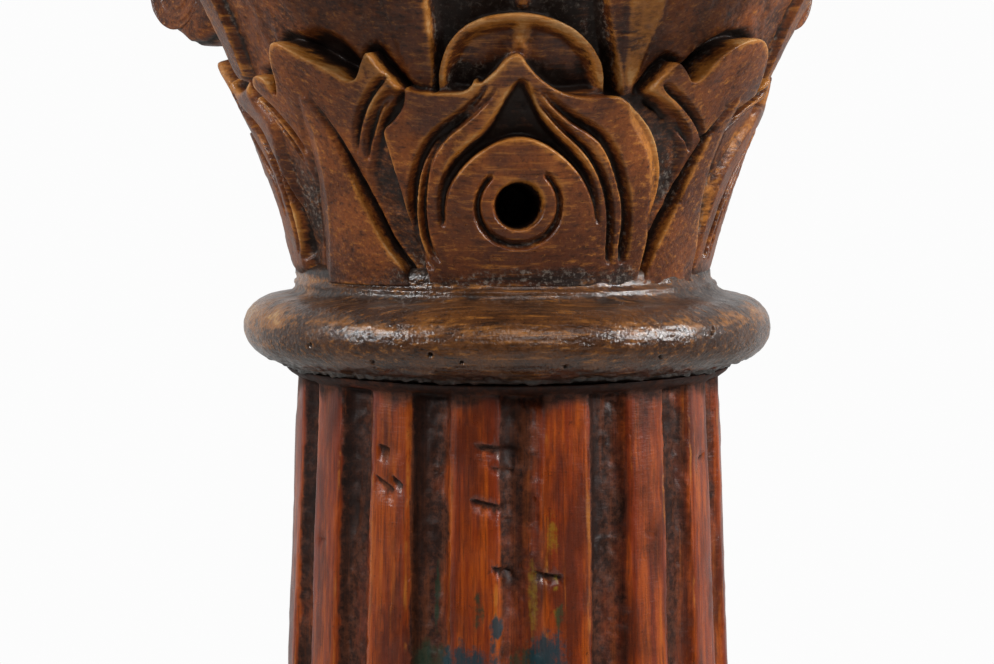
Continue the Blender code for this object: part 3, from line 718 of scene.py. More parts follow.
points = vertices_of(mesh)
angle, height, _ = unrolled(points, joint_z)
right_of = flute_place(angle)
place = np.abs(right_of)
in_flutes = (height < -COLLAR_HEIGHT / MM) & (points[:, 2] > shaft_low.z + FLUTE_FOOT)
lump = unevenness(points * (1, 1, 0.4), 5.5, 41)
fine = unevenness(points * (1, 1, 0.6), 2.2, 43)
rubbed_and_lit = np.exp(-((place - 1.10) / 0.09) ** 2) * (0.35 + 0.60 * lump + 0.3 * fine) * in_flutes
grime_and_shade = np.clip((1.05 + 0.05 * fine - place) / 0.20, 0, 1) * in_flutes
# Painted shade: each flute's left half is made darker than its right half.
grime_and_shade *= 0.80 + 0.22 * lump - 0.36 * np.clip(right_of, -1, 1)
grime_and_shade *= 1 - 0.34 * np.exp(-(angle / 8) ** 2) * np.clip(-height / 40, 0, 1)
grime_and_shade *= 1 - 0.30 * np.clip((-height - 45) / 40, 0, 1)
# Painted shade under the ring: the shaft's top is darkened down to an uneven depth.
shade_reach = 9 + 7 * unevenness(points * (1, 1, 0.1), 6, 42)
grime_and_shade = np.maximum(grime_and_shade, np.clip(1.25 + height / shade_reach, 0, 0.95))
# Darker patches near the top of the shaft at -33 and +34 degrees; the one at +34 is painted shade that tones
# down the right lamp's light.
dark_patch_and_shade = np.exp(-((angle + 33) / 6) ** 2) * np.clip(1 + height / 36, 0, 1)
dark_patch_and_shade += np.exp(-((angle - 34) / 9) ** 2) * np.clip(1 + height / 50, 0.6, 1)
grime_and_shade = np.maximum(grime_and_shade, 0.5 * dark_patch_and_shade * (1 + 0.4 * lump))
# Painted shadow lies right under each chop's upper edge, near-black.
for at, upper_edge, half_width, _, depth, tilt in SHAFT_CUTS:
    below = upper_edge + tilt * (angle - at) - height
    shadow = np.clip(1.6 - 1.6 * ((angle - at) / half_width) ** 2, 0, 1)
    shadow *= np.clip(1.5 - np.abs(below - 1.0), 0, 1)
    grime_and_shade = np.maximum(grime_and_shade, shadow * np.clip(depth / 1.4, 0, 1))
mark(mesh, "rubbed_and_lit", rubbed_and_lit)
mark(mesh, "grime_and_shade", grime_and_shade)
for name, _, _, patches in PAINTS:
    cover = np.zeros(len(points))
    for at, middle_height, half_width, half_height in patches:
        reach = np.hypot((angle - at) / half_width, (height - middle_height) / half_height)
        cover = np.maximum(cover, np.clip(1.6 - reach, 0, 1))
    mark(mesh, name, cover)
finish_piece(shaft, shaft_wood, "red_wood", "shaft")

# Capital, the ring and neck.
# A big half-round ring and the hollow neck over it, turned on the foot of the capital's block: the same
# softwood, brown stain under wax, its grain lying across, with worm holes and a few dents.

RING_RADIUS = 82.0                  # mm, centre of the half-round
RING_REACH = 13.5
RING_HALF_HEIGHT = 11.5
RING_CENTRE = 13.7
RING_FOOT = ((0.0, 0.0), (80.0, 0.0), (81.0, 0.5), (81.6, 1.5))      # (radius, height) under it
NECK_PROFILE = ((82.4, 25.3), (80.0, 25.8), (78.1, 26.6), (77.0, 27.6), (76.5, 28.6), (76.7, 29.3),
                (76.4, 29.9), (75.5, 30.5), (75.0, 31.6), (75.1, 32.8), (75.0, 34.0), (74.5, 35.2),
                (73.4, 36.3), (71.6, 37.0), (68.0, 37.2))
NECK_TOP = 37.2
NECK_SHIFT = -1.6                   # mm, how far the neck's top stands off the axis
# Worm holes in the ring as (angle, height, radius in mm).
WORM_HOLES = (
    (-18.3, 10.6, 0.8), (-31, 7.6, 0.6), (-12.2, 8.4, 0.5), (41.9, 16.0, 0.8), (42.4, 17.4, 0.6),
    (41.3, 14.9, 0.5), (28.0, 9.0, 0.6), (-46, 12, 0.7), (8.0, 6.8, 0.6), (118, 14, 0.8), (-151, 11, 0.8),
    (171, 16, 0.7))
RING_COLUMNS = 1100
RING_FACES = 150_000                # triangles kept


def relief_of_ring(points):
    """How far the ring and neck lie over or under their turned surface, in mm."""
    _, height, _ = unrolled(points, joint_z)
    lift = 0.36 * unevenness(points, 24, 51) + 0.20 * unevenness(points, 8, 52)
    lift += 0.13 * unevenness(points * (0.5, 1, 2.5), 2.4, 53)
    neck = np.clip((height - 24.5) / 2, 0, 1)
    lift += neck * (0.40 * unevenness(points, 9, 54) + 0.25 * unevenness(points, 3.5, 55))
    under = np.clip((6.0 - height) / 5, 0, 1)
    lift += under * (0.8 * unevenness(points, 6, 56) + 0.8 * unevenness(points, 2.2, 59))
    return lift


def in_worm_holes(angle, height):
    """How far places on the ring are inside a worm hole: 0 outside, 1 in its middle."""
    inside = np.zeros(angle.shape)
    for at, level, size in WORM_HOLES:
        reach = np.hypot(np.radians(angle - at) * (RING_RADIUS + RING_REACH), height - level) / size
        inside = np.maximum(inside, np.clip(1.3 - reach, 0, 1))
    return inside


ring_wood = patinated_wood("turned softwood, brown stain under wax",
                           ("#432714", "#5c371a", "#2f1c12"), "#9a632b", "#1a100a", "#6f665f",
                           roughness=0.22, grain_depth=0.00034, grain=0.9, coat=0.55, crackle=0.55,
                           seed=7.7)
profile = list(RING_FOOT)
profile += arc(RING_RADIUS, RING_CENTRE, RING_REACH, RING_HALF_HEIGHT, -84, 78, 0.5)
profile += list(NECK_PROFILE) + [(0.0, NECK_TOP)]
profile = [(r * MM, h * MM) for r, h in profile]
ring = turn_profile("capital_ring", profile, joint_z, RING_COLUMNS, ring_wood)
points = vertices_of(ring.data)
angle, height, radius = unrolled(points, joint_z)
outer = (radius > 78) | (height > 20)
move = (relief_of_ring(points) - 2.2 * in_worm_holes(angle, height)) * outer * (height > 0.3)
points += normals_of(ring.data) * (move * MM)[:, None]
points[:, 0] += NECK_SHIFT * MM * np.clip((height - 27) / 6, 0, 1)
set_vertices(ring.data, points)
thin_out(ring, RING_FACES)
points = vertices_of(ring.data)
angle, height, _ = unrolled(points, joint_z)
lump = unevenness(points, 9, 57)
crest = np.exp(-((height - 19.5) / 3.2) ** 2) + 0.5 * np.exp(-((height - 31.5) / 1.2) ** 2)
streaks = unevenness(points * (0.22, 0.8, 2.4), 3.6, 58)
# Painted light: the ring's two ends, the left one most, get more of the golden rubbed tone.
lit_ends = np.clip((np.abs(angle) - 48) / 30, 0, 1) * np.where(angle < 0, 0.70, 0.24)
mark(ring.data, "rubbed_and_lit", crest * (0.44 + 0.30 * lump)
     + (0.34 * streaks - 0.06 + lit_ends) * np.clip((height - 6) / 4, 0, 1))
# Painted shade on the ring's underside, and on the neck's top, where it goes in under the bell and would
# otherwise catch a highlight.
grime_and_shade = np.clip(1 - height / 8.0, 0, 1) * 0.8 + np.exp(-((height - 27.0) / 2.6) ** 2) * 0.42
grime_and_shade += np.clip((height - 32.6) / 1.0, 0, 1) * 0.6 + in_worm_holes(angle, height)
mark(ring.data, "grime_and_shade", grime_and_shade + 0.20 * lump + 0.06)
finish_piece(ring, ring_wood, "brown_wood", "capital")

# Capital, the carved bell.
# Over the neck the block opens into a bell. Four large leaves with a drilled eye stand on it, four
# smaller ones with a long stem between them, and a round leaf sits in a niche over each large one. All
# of it is cut with gouges; the edges are worn round, and the ground between the leaves is left rough.

BELL_FOOT_RADIUS = 70.6             # mm
BELL_LEAN = 0.24
BELL_FLARE = 0.0015
LEAF_FOOT = 32.5
BELL_SHIFT = -2.0 * MM              # the carving stands a little off the axis
BELL_TURN = 0.6                     # degrees
BELL_TOP = 163.6
COLUMN_STEP = 0.30                  # degrees
ROW_STEP = 0.4                      # mm
BELL_FACES = 196_000                # triangles kept
AWAY = 99.0                         # mm, stands for a place far from a line

LARGE_LIFT = 4.5                    # mm over the bell
SMALL_LIFT = 1.4
STEM_LIFT = 4.8
NICHE_DEPTH = 9.0
EYE_HEIGHT = 57.6
EYE_RADIUS = 7.1
EYE_DEPTH = 24.0
EYE_RING_RADIUS = 12.7

# Lines of the front leaf as (degrees from its middle, height in mm), as the gouge followed them.
LARGE_OUTLINE = ((-22.2, 30), (-23.4, 38), (-24.9, 42), (-26.2, 48), (-26.6, 55), (-27.3, 63),
                 (-28.3, 71), (-29, 78), (-29, 82), (-26.3, 84.6), (-23.8, 88.5), (-23.0, 92),
                 (-22.6, 95.8), (-21.1, 93.7), (-15.5, 93.2), (-11.6, 93.2), (-10.0, 94.6), (-8.9, 98),
                 (-8.0, 95.9), (-6.7, 97.6), (-5, 99.8), (-3.2, 103.2), (-1.6, 104.6), (-0.4, 104.4),
                 (0.9, 101.4), (3.3, 97.5), (6.3, 94.4), (9.3, 92.4), (13.3, 91.7), (17.7, 92.6),
                 (19.6, 92.4), (22.4, 89.9), (25.9, 86.5), (29.4, 81.9), (32.6, 75.6), (34.8, 68.5),
                 (35.4, 62), (35.0, 56), (34.2, 50), (34.4, 44), (33.8, 38), (33.4, 30), (0, 30))
OUTER_GROOVE_LEFT = ((-6.5, 95.5), (-8.3, 91.2), (-12, 85.8), (-16.3, 81.7), (-19.3, 77.8),
                     (-21.6, 72.2), (-23.4, 65.9), (-24.7, 57.8), (-25.2, 51.3), (-24.9, 46), (-23.3, 40),
                     (-21, 37))
INNER_GROOVE_LEFT = ((-4.7, 94.6), (-6, 91.8), (-8.6, 87.8), (-12.1, 83.7), (-15.4, 80.2),
                     (-17.8, 76.6), (-19.7, 72), (-21, 65.9), (-22.2, 57.8), (-22.4, 51.4),
                     (-21.9, 46.5), (-20.6, 42), (-19, 39))
INNER_GROOVE_RIGHT = ((1.7, 94.3), (3.8, 89.1), (6.8, 84.6), (10.1, 80.2), (13.6, 76.1), (16.6, 71.3),
                      (18.8, 66.5), (20.6, 61), (22, 54.6), (22.9, 46.4), (23.2, 38.5))
OUTER_GROOVE_RIGHT = ((3.2, 94), (7.4, 88.2), (10.8, 84.8), (14.7, 81.9), (18, 78.3), (21, 72.4),
                      (23.4, 66), (25.5, 59.4), (26.7, 52.9), (27, 46.3), (27, 38.5))
# The leaf's cut bands as (line, half width, depth, shares over which it grows in and fades).
LARGE_GROOVES = (
    (OUTER_GROOVE_LEFT, 1.55, 4.2, (0.22, 0.12)), (INNER_GROOVE_LEFT, 1.15, 3.4, (0.25, 0.2)),
    (INNER_GROOVE_RIGHT, 1.2, 3.6, (0.2, 0.08)), (OUTER_GROOVE_RIGHT, 1.75, 4.4, (0.25, 0.08)))
# The dark triangle under the leaf's tip, and the groove that runs down from it on each side of the boss.
MOAT = ((-1.0, 96.0), (0.2, 96.6), (1.4, 93.6), (3.0, 88.4), (5.6, 83.2), (8.6, 79.2), (11.8, 75.0),
        (14.8, 70.0), (17.0, 64.6), (18.6, 58.4), (19.2, 51.5), (18.4, 52.5), (17.4, 57.5), (15.8, 62.4),
        (13.6, 67.2), (10.6, 71.8), (7.2, 75.6), (3.6, 78.4), (0, 79.6), (-3.8, 78.6), (-7.6, 75.8),
        (-11.0, 72.0), (-13.8, 67.4), (-15.8, 62.4), (-16.8, 57.0), (-17.2, 51.5), (-18.2, 51.0),
        (-18.6, 56.0), (-18.2, 61.6), (-17.0, 66.6), (-14.8, 71.6), (-11.8, 76.0), (-8.8, 79.4),
        (-6.4, 83.0), (-4.4, 88.0), (-2.6, 92.6))
WING_BEVEL = ((35.6, 50), (33.6, 46.5), (32.4, 52), (32.1, 58), (31.2, 66), (29, 73), (25.8, 79.5),
              (22.6, 84), (21.4, 90.4), (24.4, 89.2), (29.5, 83.5), (34.2, 75), (36.4, 66), (36.6, 57))

# Lines of the two small leaves beside it, as (degrees from the leaf's middle towards the front leaf,
# height in mm): first the left one, then the right one.
SMALL_OUTLINES = (
    ((0, 30), (24, 30), (24, 60), (23.5, 80), (22.6, 93), (20.9, 96.6), (18.9, 100.6), (17.6, 104.2),
     (16.5, 106.6), (14.6, 102.2), (12.2, 96.4), (9.4, 100.6), (5.8, 103.2), (2.3, 106.4), (-0.6, 110.0),
     (-3.4, 110.8), (-5.4, 107.6), (-6.8, 101.8), (-7.6, 97), (-9.5, 93.4), (-9.4, 98), (-11.2, 100.8),
     (-14, 101), (-16.2, 98.8), (-17.3, 94), (-21, 89), (-23, 82), (-23, 60), (-22, 30)),
    ((0, 30), (24, 30), (24, 60), (22.6, 82), (20.6, 92), (19, 97), (17, 101.4), (15.5, 104),
     (12.8, 101), (9.6, 96.2), (7.0, 105.0), (3.0, 110.4), (-1.8, 112.6), (-5.4, 112), (-9, 108.4),
     (-11.6, 102.4), (-13, 96.4), (-13.6, 94), (-14.2, 98), (-16, 101.4), (-18.4, 99), (-20.5, 92),
     (-23, 84), (-23, 60), (-22, 30)))
SMALL_STROKES = (
    (((19.6, 98.6), (17.2, 95.6), (14.9, 92.2), (11.7, 86.6), (9.2, 80.3), (7.9, 74.6)),
     ((20.6, 94), (18.6, 92), (16.2, 89), (13.4, 83), (11.1, 77.1), (10.1, 72))),
    (((17.2, 96.6), (15, 94.4), (12, 92), (6.6, 87), (2, 82.3), (-0.8, 77.5)),
     ((18.6, 92), (16.4, 90.8), (13.9, 88.7), (8.7, 83.7), (4.9, 79.2), (3.0, 75))))
STEM_FRONTS = (
    ((17.8, 30), (16.6, 37), (15, 39.6), (11.8, 45), (9, 54), (7, 62), (5.4, 70.5), (3.8, 78.6),
     (2.4, 85.3), (0.7, 92.6)),
    ((11.6, 30), (9.2, 37), (8.2, 42), (6.2, 49), (4.9, 54), (3.3, 59.5), (2.4, 65.7), (1.2, 71),
     (0.1, 76), (-1, 81), (-3.1, 87), (-5.2, 93)))
STEM_CRESTS = (
    ((-10, 30), (-6.5, 42.5), (-3.7, 56), (-2.5, 67.6), (-1.9, 77), (-1.4, 85), (-0.2, 93)),
    ((-15.2, 30), (-10.8, 42), (-8.2, 49), (-6.1, 57.5), (-4.7, 66), (-4.4, 74), (-5.0, 82.5), (-5.8, 92)))
STEM_FLANKS = (
    ((-16, 30), (-12.5, 42.5), (-9.4, 56), (-7.4, 67.6), (-5.6, 77), (-3.8, 85), (-1.2, 93)),
    ((-20, 30), (-16.4, 42), (-13.4, 49), (-11.2, 57.5), (-9.4, 66), (-8.3, 74), (-7.8, 82.5), (-6.6, 92)))
# Where each small leaf's blade falls off into the dark valley beside the large leaf, from the foot up.
VALLEY_SHORES = (
    ((18.5, 30), (17, 38), (13, 45), (10, 54), (8, 62), (8.6, 68), (10.4, 72), (11.8, 77), (13.9, 83),
     (16.8, 89), (19, 92), (21, 95)),
    ((12.2, 30), (10.2, 38), (9, 43), (7.2, 49), (5.9, 54), (4.4, 59.5), (3.6, 66), (3.2, 71), (4.2, 76),
     (6, 80), (9.6, 84.6), (14.6, 89.6), (17.6, 93), (20, 95)))
SCOOPS = (
    ((-1, 104), (-1, 111.4), (0.8, 113.3), (3.4, 114.8), (5.9, 114.9), (8.8, 113), (10.8, 110.7),
     (12.8, 107), (14.4, 102), (13, 98), (4, 98)),
    ((13.4, 97), (12.4, 103), (11.1, 106), (8.3, 110), (3.8, 113.6), (-1.8, 115.5), (-8.4, 114),
     (-14.4, 110.5), (-17, 104), (-12, 98), (0, 98)))

DOME = ((-16.7, 90), (-16.9, 97), (-15.7, 103), (-13.9, 108.4), (-11.2, 112.9), (-7.6, 115.8), (-4, 117),
        (0.3, 117.3), (4.7, 116.1), (9.5, 112.7), (13.1, 107.8), (15.8, 101.7), (17.2, 96), (17.2, 90))
NICHE = ((-17.3, 91), (-16.8, 100), (-16.4, 110), (-16.4, 169), (13.2, 169), (13.6, 126), (14.3, 120),
         (16.9, 109), (19.3, 99), (20.8, 91))
FRAME_LEFT = ((-17.4, 100), (-17, 112), (-17, 169), (-25, 169), (-24.5, 120), (-23.5, 106), (-22.4, 99))
FRAME_RIGHT = ((21.4, 94), (19.6, 106), (18.3, 120), (17.6, 169), (26.4, 169), (25.8, 121), (24.7, 108),
               (23.4, 97))
NICHE_CHIP = ((-2.4, 114.5), (0.5, 113), (2.4, 115), (2.2, 109), (0.6, 107.5), (-0.6, 111))

# The sides as (axis, side, lift of the niche's frame, lift of its rim, curl of the large leaf's tip,
# how far the leaf's heights are drawn out, wear of its edges), and the corners as (axis, side, which of
# the two small leaves). A side of -1 mirrors the lines above.
LARGE_LEAVES = (
    (0, 1, 0.75, 1.6, 3.0, 1.0, 0.7), (90, -1, 3.2, -1.4, 0.6, 1.0, 1.6),
    (180, 1, 1.0, 1.2, 1.8, 1.0, 1.6), (-90, -1, 3.8, -2.0, 2.0, 0.955, 3.0))
SMALL_LEAVES = ((-45, 1, 0), (45, -1, 1), (135, 1, 1), (-135, -1, 0))


def bell_radius(height):
    """Radius in mm of the plain bell at a height."""
    rise = np.maximum(np.asarray(height, float) - LEAF_FOOT, 0)
    return BELL_FOOT_RADIUS + BELL_LEAN * rise + BELL_FLARE * rise ** 2


def on_bell(points, rounds=2, closed=False, side=1):
    """A line given in degrees and mm, laid flat in mm and with its corners cut back a few times."""
    line = np.array(points, float)
    for _ in range(rounds):
        after = np.roll(line, -1, axis=0) if closed else line[1:]
        before = line if closed else line[:-1]
        cut = np.stack([0.75 * before + 0.25 * after, 0.25 * before + 0.75 * after], axis=1).reshape(-1, 2)
        line = cut if closed else np.vstack([line[:1], cut, line[-1:]])
    return np.stack([side * np.radians(line[:, 0]) * bell_radius(line[:, 1]), line[:, 1]], axis=1)


def near_line(x, z, line, reach=AWAY):
    """Distance of each place from a line, and how far along the line it is, from 0 to 1."""
    distance, along = np.full(x.shape, AWAY), np.zeros(x.shape)
    (left, low), (right, high) = line.min(0) - reach, line.max(0) + reach
    close = (x > left) & (x < right) & (z > low) & (z < high)
    px, pz = x[close], z[close]
    best, part = np.full(px.shape, AWAY), np.zeros(px.shape)
    steps = np.hypot(*np.diff(line, axis=0).T)
    walked = 0.0
    for (x0, z0), (x1, z1), length in zip(line, line[1:], steps):
        t = np.clip(((px - x0) * (x1 - x0) + (pz - z0) * (z1 - z0)) / max(length, 1e-6) ** 2, 0, 1)
        d = np.hypot(px - x0 - t * (x1 - x0), pz - z0 - t * (z1 - z0))
        closer = d < best
        best[closer] = d[closer]
        part[closer] = walked + t[closer] * length
        walked += length
    distance[close], along[close] = best, part / walked
    return distance, along


def inside_of(x, z, outline, reach=9.0):
    """Distance of each place from a closed outline, positive inside it."""
    loop = np.vstack([outline, outline[:1]])
    distance, _ = near_line(x, z, loop, reach)
    inside = np.zeros(x.shape, bool)
    for (x0, z0), (x1, z1) in zip(loop, loop[1:]):
        if z0 != z1:
            crossing = (x1 - x0) * (z - z0) / (z1 - z0) + x0
            inside ^= ((z0 > z) != (z1 > z)) & (x < crossing)
    return np.where(inside, distance, -distance)


def ease(value):
    """Smooth step from 0 to 1."""
    value = np.clip(value, 0, 1)
    return value * value * (3 - 2 * value)


def lay(level, depth_in, top, wall=1.0, worn=0.7, worn_width=1.6):
    """Raises or lowers the ground to a top inside an outline, with a sloping wall and a worn edge."""
    edge = np.clip(1 - depth_in / worn_width, 0, 1)
    return level + (top - worn * edge ** 2 - level) * ease(0.5 + depth_in / wall)


def gouge(level, x, z, line, half_width, depth, taper=(0.2, 0.2)):
    """Cuts a round-bottomed groove along a line, growing in at its start and fading at its end."""
    distance, along = near_line(x, z, line, half_width + 1)
    swell = np.ones(x.shape)
    if taper[0]:
        swell = np.minimum(swell, along / taper[0])
    if taper[1]:
        swell = np.minimum(swell, (1 - along) / taper[1])
    swell = np.sqrt(np.clip(swell, 0, 1))
    across = distance / (half_width * (0.4 + 0.6 * swell))
    return level - depth * swell * np.sqrt(np.clip(1 - across ** 2, 0, 1))


angles = np.arange(-180, 180, COLUMN_STEP)
heights = np.concatenate([[26.0, 29.0], np.arange(31, 127, ROW_STEP), np.arange(127, BELL_TOP - 1, 1.3),
                          [BELL_TOP]])
angle_grid, height_grid = np.meshgrid(angles, heights)
radius_grid = bell_radius(height_grid)
turns = np.radians(angle_grid + BELL_TURN)
ground = np.stack([radius_grid * np.sin(turns), -radius_grid * np.cos(turns), height_grid], axis=-1) * MM
level = np.zeros(angle_grid.shape)


def window(axis, side, half=48):
    """The columns of the grid round an axis, and their places in mm: across, towards a side, and up."""
    offset = (angles - axis + 180) % 360 - 180
    columns = np.abs(offset) < half
    across = side * np.radians(offset[columns])[None, :] * radius_grid[:, columns]
    up = np.broadcast_to(heights[:, None], across.shape)
    # On the sides that the photograph doesn't show, the carver's lines wander a little from these.
    if axis not in (0, -45, 45):
        spot = ground[:, columns]
        across = across + 0.8 * unevenness(spot, 17, 61)
        up = up + 0.8 * unevenness(spot, 19, 62)
    return columns, across, up


def cut_niche(level, x, z, frame_lift, rim_lift):
    """The niche, its raised frame, and the round leaf in it: a rim round a hollow with a middle rib."""
    for frame_line in (FRAME_LEFT, FRAME_RIGHT):
        level = lay(level, inside_of(x, z, on_bell(frame_line, 1, True)), frame_lift, 1.6, 0.3)
    niche = inside_of(x, z, on_bell(NICHE, 1, True))
    floor = -NICHE_DEPTH + 3.6 * ease(1 - np.abs(x) / 5) * ease((z - 116) / 4)
    level = lay(level, niche, floor, 1.5, 0.0)
    dome = inside_of(x, z, on_bell(DOME, 2, True))
    rim = 0.2 + rim_lift * ease((z - 94) / 9) - 0.6 * ((dome - 1.6) / 1.6) ** 2
    bowl = -3.4 - 2.4 * ease((108 - z) / 14) + 2.0 * ease(1 - np.abs(x + 0.6) / 4.5) * ease((z - 98) / 8)
    top = rim + (bowl - rim) * ease((dome - 2.0) / 3.6)
    top = top - 0.6 * ease(inside_of(x, z, on_bell(NICHE_CHIP, 0, True)) + 0.4)
    return lay(level, dome, top, 1.1, 0.4)


def in_valley(x, z, kind):
    """How far places are in the valley between a small leaf and the large one beside it, from 0 to 1."""
    shore = on_bell(VALLEY_SHORES[kind])
    return ease((x - np.interp(z, shore[:, 1], shore[:, 0])) / 3.0) * ease((96.5 - z) / 4)


def cut_small_leaf(level, x, z, kind):
    """A small leaf: a blade that leans out to a round tip and two points, and a long raised stem."""
    scoop = inside_of(x, z, on_bell(SCOOPS[kind], 2, True))
    level = level - 5.6 * ease(scoop / 5.5) * ease((z - 97) / 3)
    blade = inside_of(x, z, on_bell(SMALL_OUTLINES[kind], 2, True))
    level = level - 4.2 * ease(1 + blade / 4.2) * ease((z - 92) / 4)
    lean = ease((z - 60) / 52)
    crown = np.clip(1 - (x / 22) ** 2, 0, 1)
    top = SMALL_LIFT - 1.2 * ease((74 - z) / 22) + 6.2 * lean + 0.9 * crown * lean
    cupped = np.exp(-((z - 99) / 6) ** 2) * np.exp(-((x - 3) / 6) ** 2)
    top = top - 0.9 * cupped
    for side in (1, -1):
        top = top - (top + 0.6) * in_valley(side * x, z, kind) * (1 if side > 0 else 0.4)
    level = lay(level, blade, top, 1.1, 0.6)
    for stroke in SMALL_STROKES[kind]:
        for side in (1, -1):
            level = gouge(level, x, z, on_bell(stroke, 2, side=side), 1.2, 3.6, (0.1, 0.3))
    front, crest, flank = (on_bell(line[kind]) for line in (STEM_FRONTS, STEM_CRESTS, STEM_FLANKS))
    level = gouge(level, x, z, front + (0.8, 0), 1.2, 2.4, (0.05, 0.25))
    level = gouge(level, x, z, flank - (1.0, 0), 1.4, 1.2, (0.05, 0.3))
    stem = inside_of(x, z, np.vstack([front, flank[::-1]]))
    crest_x = np.interp(z, crest[:, 1], crest[:, 0])
    flank_x = np.interp(z, flank[:, 1], flank[:, 0])
    slope = np.clip((crest_x - x) / np.maximum(crest_x - flank_x, 0.5), 0, 1)
    top = np.maximum(STEM_LIFT, top + 0.7) - (3.4 * ease((95 - z) / 30)) * slope
    return lay(level, stem, top, 0.8, 0.5, 1.2)


def cut_large_leaf(level, x, z, curl, worn):
    """A large leaf: two wings, cut bands that meet over a dark hollow, and a boss with a drilled eye."""
    outline = inside_of(x, z, on_bell(LARGE_OUTLINE, 1, True))
    top = LARGE_LIFT + curl * np.clip((z - 84) / 20, 0, 1) ** 2
    bevel = inside_of(x, z, on_bell(WING_BEVEL, 2, True), 14)
    top = top - 0.75 * np.clip(bevel, 0, 4.5)
    dish = np.exp(-((x + 27) / 8) ** 2) * np.exp(-((z - 80) / 9) ** 2)
    top = top - 1.0 * dish
    level = lay(level, outline, top, 0.8 + 0.5 * worn, worn, 0.8 + 1.2 * worn)
    for line, half_width, depth, taper in LARGE_GROOVES:
        level = gouge(level, x, z, on_bell(line), half_width, depth, taper)
    moat = inside_of(x, z, on_bell(MOAT, 1, True))
    floor = LARGE_LIFT - 2.6 - 5.4 * ease((z - 60) / 20)
    level = level + (floor - level) * ease(0.35 + moat / 1.5)
    from_eye = np.hypot(x, z - EYE_HEIGHT)
    turn = np.degrees(np.arctan2(z - EYE_HEIGHT, x))
    open_top = ease((np.abs((turn - 92 + 180) % 360 - 180) - 34) / 14)
    ring_half = 1.15 + 0.3 * ease(-(z - EYE_HEIGHT) / 8)
    ring_cut = np.clip(1 - np.abs(from_eye - EYE_RING_RADIUS) / ring_half, 0, 1) ** 0.7
    level = level - 3.4 * ring_cut * open_top
    dish = ease((EYE_RING_RADIUS - from_eye) / 2.5) * open_top
    lip = np.clip(1 - (from_eye - EYE_RADIUS) / 1.8, 0, 1) ** 2
    level = level - 0.5 * dish - 0.6 * lip
    return level + (-EYE_DEPTH - level) * ease((EYE_RADIUS - from_eye) / 0.7 + 0.5)


for axis, side, frame_lift, rim_lift, *_ in LARGE_LEAVES:
    columns, x, z = window(axis, side)
    level[:, columns] = cut_niche(level[:, columns], x, z, frame_lift, rim_lift)
for axis, side, kind in SMALL_LEAVES:
    columns, x, z = window(axis, side)
    level[:, columns] = cut_small_leaf(level[:, columns], x, z, kind)
for axis, side, _, _, curl, drawn_out, worn in LARGE_LEAVES:
    columns, x, z = window(axis, side)
    level[:, columns] = cut_large_leaf(level[:, columns], x, z * drawn_out, curl, worn)


def softened(field, cells):
    """A field blurred over a number of grid cells; columns run on round the column."""
    pad = int(3 * cells)
    tall = np.pad(field, ((pad, pad), (0, 0)), mode="edge")
    spectrum = np.fft.rfft2(tall)
    rows = np.fft.fftfreq(tall.shape[0])[:, None]
    cols = np.fft.rfftfreq(tall.shape[1])[None, :]
    spectrum *= np.exp(-2 * (math.pi * cells) ** 2 * (rows ** 2 + cols ** 2))
    return np.fft.irfft2(spectrum, tall.shape)[pad:-pad]


# The gouge leaves shallow facets, and the ground between the leaves is rougher.
level = softened(level, 0.8)
low_ground = ease((2.5 - level) / 3)
level += 0.34 * unevenness(ground, 13, 63) + 0.17 * unevenness(ground, 4.5, 64)
level += 0.09 * unevenness(ground * (0.4, 1, 1.6), 2.4, 68)
level += (0.38 * unevenness(ground, 3.4, 65) + 0.22 * unevenness(ground, 1.8, 66)) * low_ground
# The top stays plain under the board, and the foot goes in behind the neck.
level[height_grid > BELL_TOP - 2] = 0
level[height_grid < 30] = -1.5


def read_grid(field, points):
    """A field's values at points of the bell, read between its grid's rows and columns."""
    angle, height, _ = unrolled(points - (BELL_SHIFT, 0, 0), joint_z)
    column = (angle - BELL_TURN + 180) / COLUMN_STEP
    row = np.interp(height, heights, np.arange(len(heights)))
    c0, r0 = np.floor(column).astype(int), np.minimum(np.floor(row).astype(int), len(heights) - 2)
    fc, fr = column - c0, row - r0
    c0, c1 = c0 % len(angles), (c0 + 1) % len(angles)
    low = field[r0, c0] * (1 - fc) + field[r0, c1] * fc
    high = field[r0 + 1, c0] * (1 - fc) + field[r0 + 1, c1] * fc
    return low * (1 - fr) + high * fr


def wrapped_skin(name, rings):
    """A closed mesh through rings of points from bottom to top, with a fan over each end."""
    rows, columns = rings.shape[:2]
    points = np.vstack([rings.reshape(-1, 3), rings[0].mean(0), rings[-1].mean(0)])
    index = np.arange(rows * columns).reshape(rows, columns)
    after = np.roll(index, -1, axis=1)
    quads = np.stack([index[:-1], after[:-1], after[1:], index[1:]], axis=-1).reshape(-1, 4)
    foot = np.stack([after[0], index[0], np.full(columns, rows * columns)], axis=-1)
    head = np.stack([index[-1], after[-1], np.full(columns, rows * columns + 1)], axis=-1)
    mesh = bpy.data.meshes.new(name)
    mesh.vertices.add(len(points))
    mesh.vertices.foreach_set("co", points.astype(np.float32).ravel())
    corners = np.concatenate([quads.ravel(), foot.ravel(), head.ravel()])
    sizes = np.concatenate([np.full(len(quads), 4), np.full(2 * columns, 3)])
    mesh.loops.add(len(corners))
    mesh.loops.foreach_set("vertex_index", corners.astype(np.int32))
    mesh.polygons.add(len(sizes))
    mesh.polygons.foreach_set("loop_start", (np.cumsum(sizes) - sizes).astype(np.int32))
    mesh.update(calc_edges=True)
    mesh.validate()
    return mesh


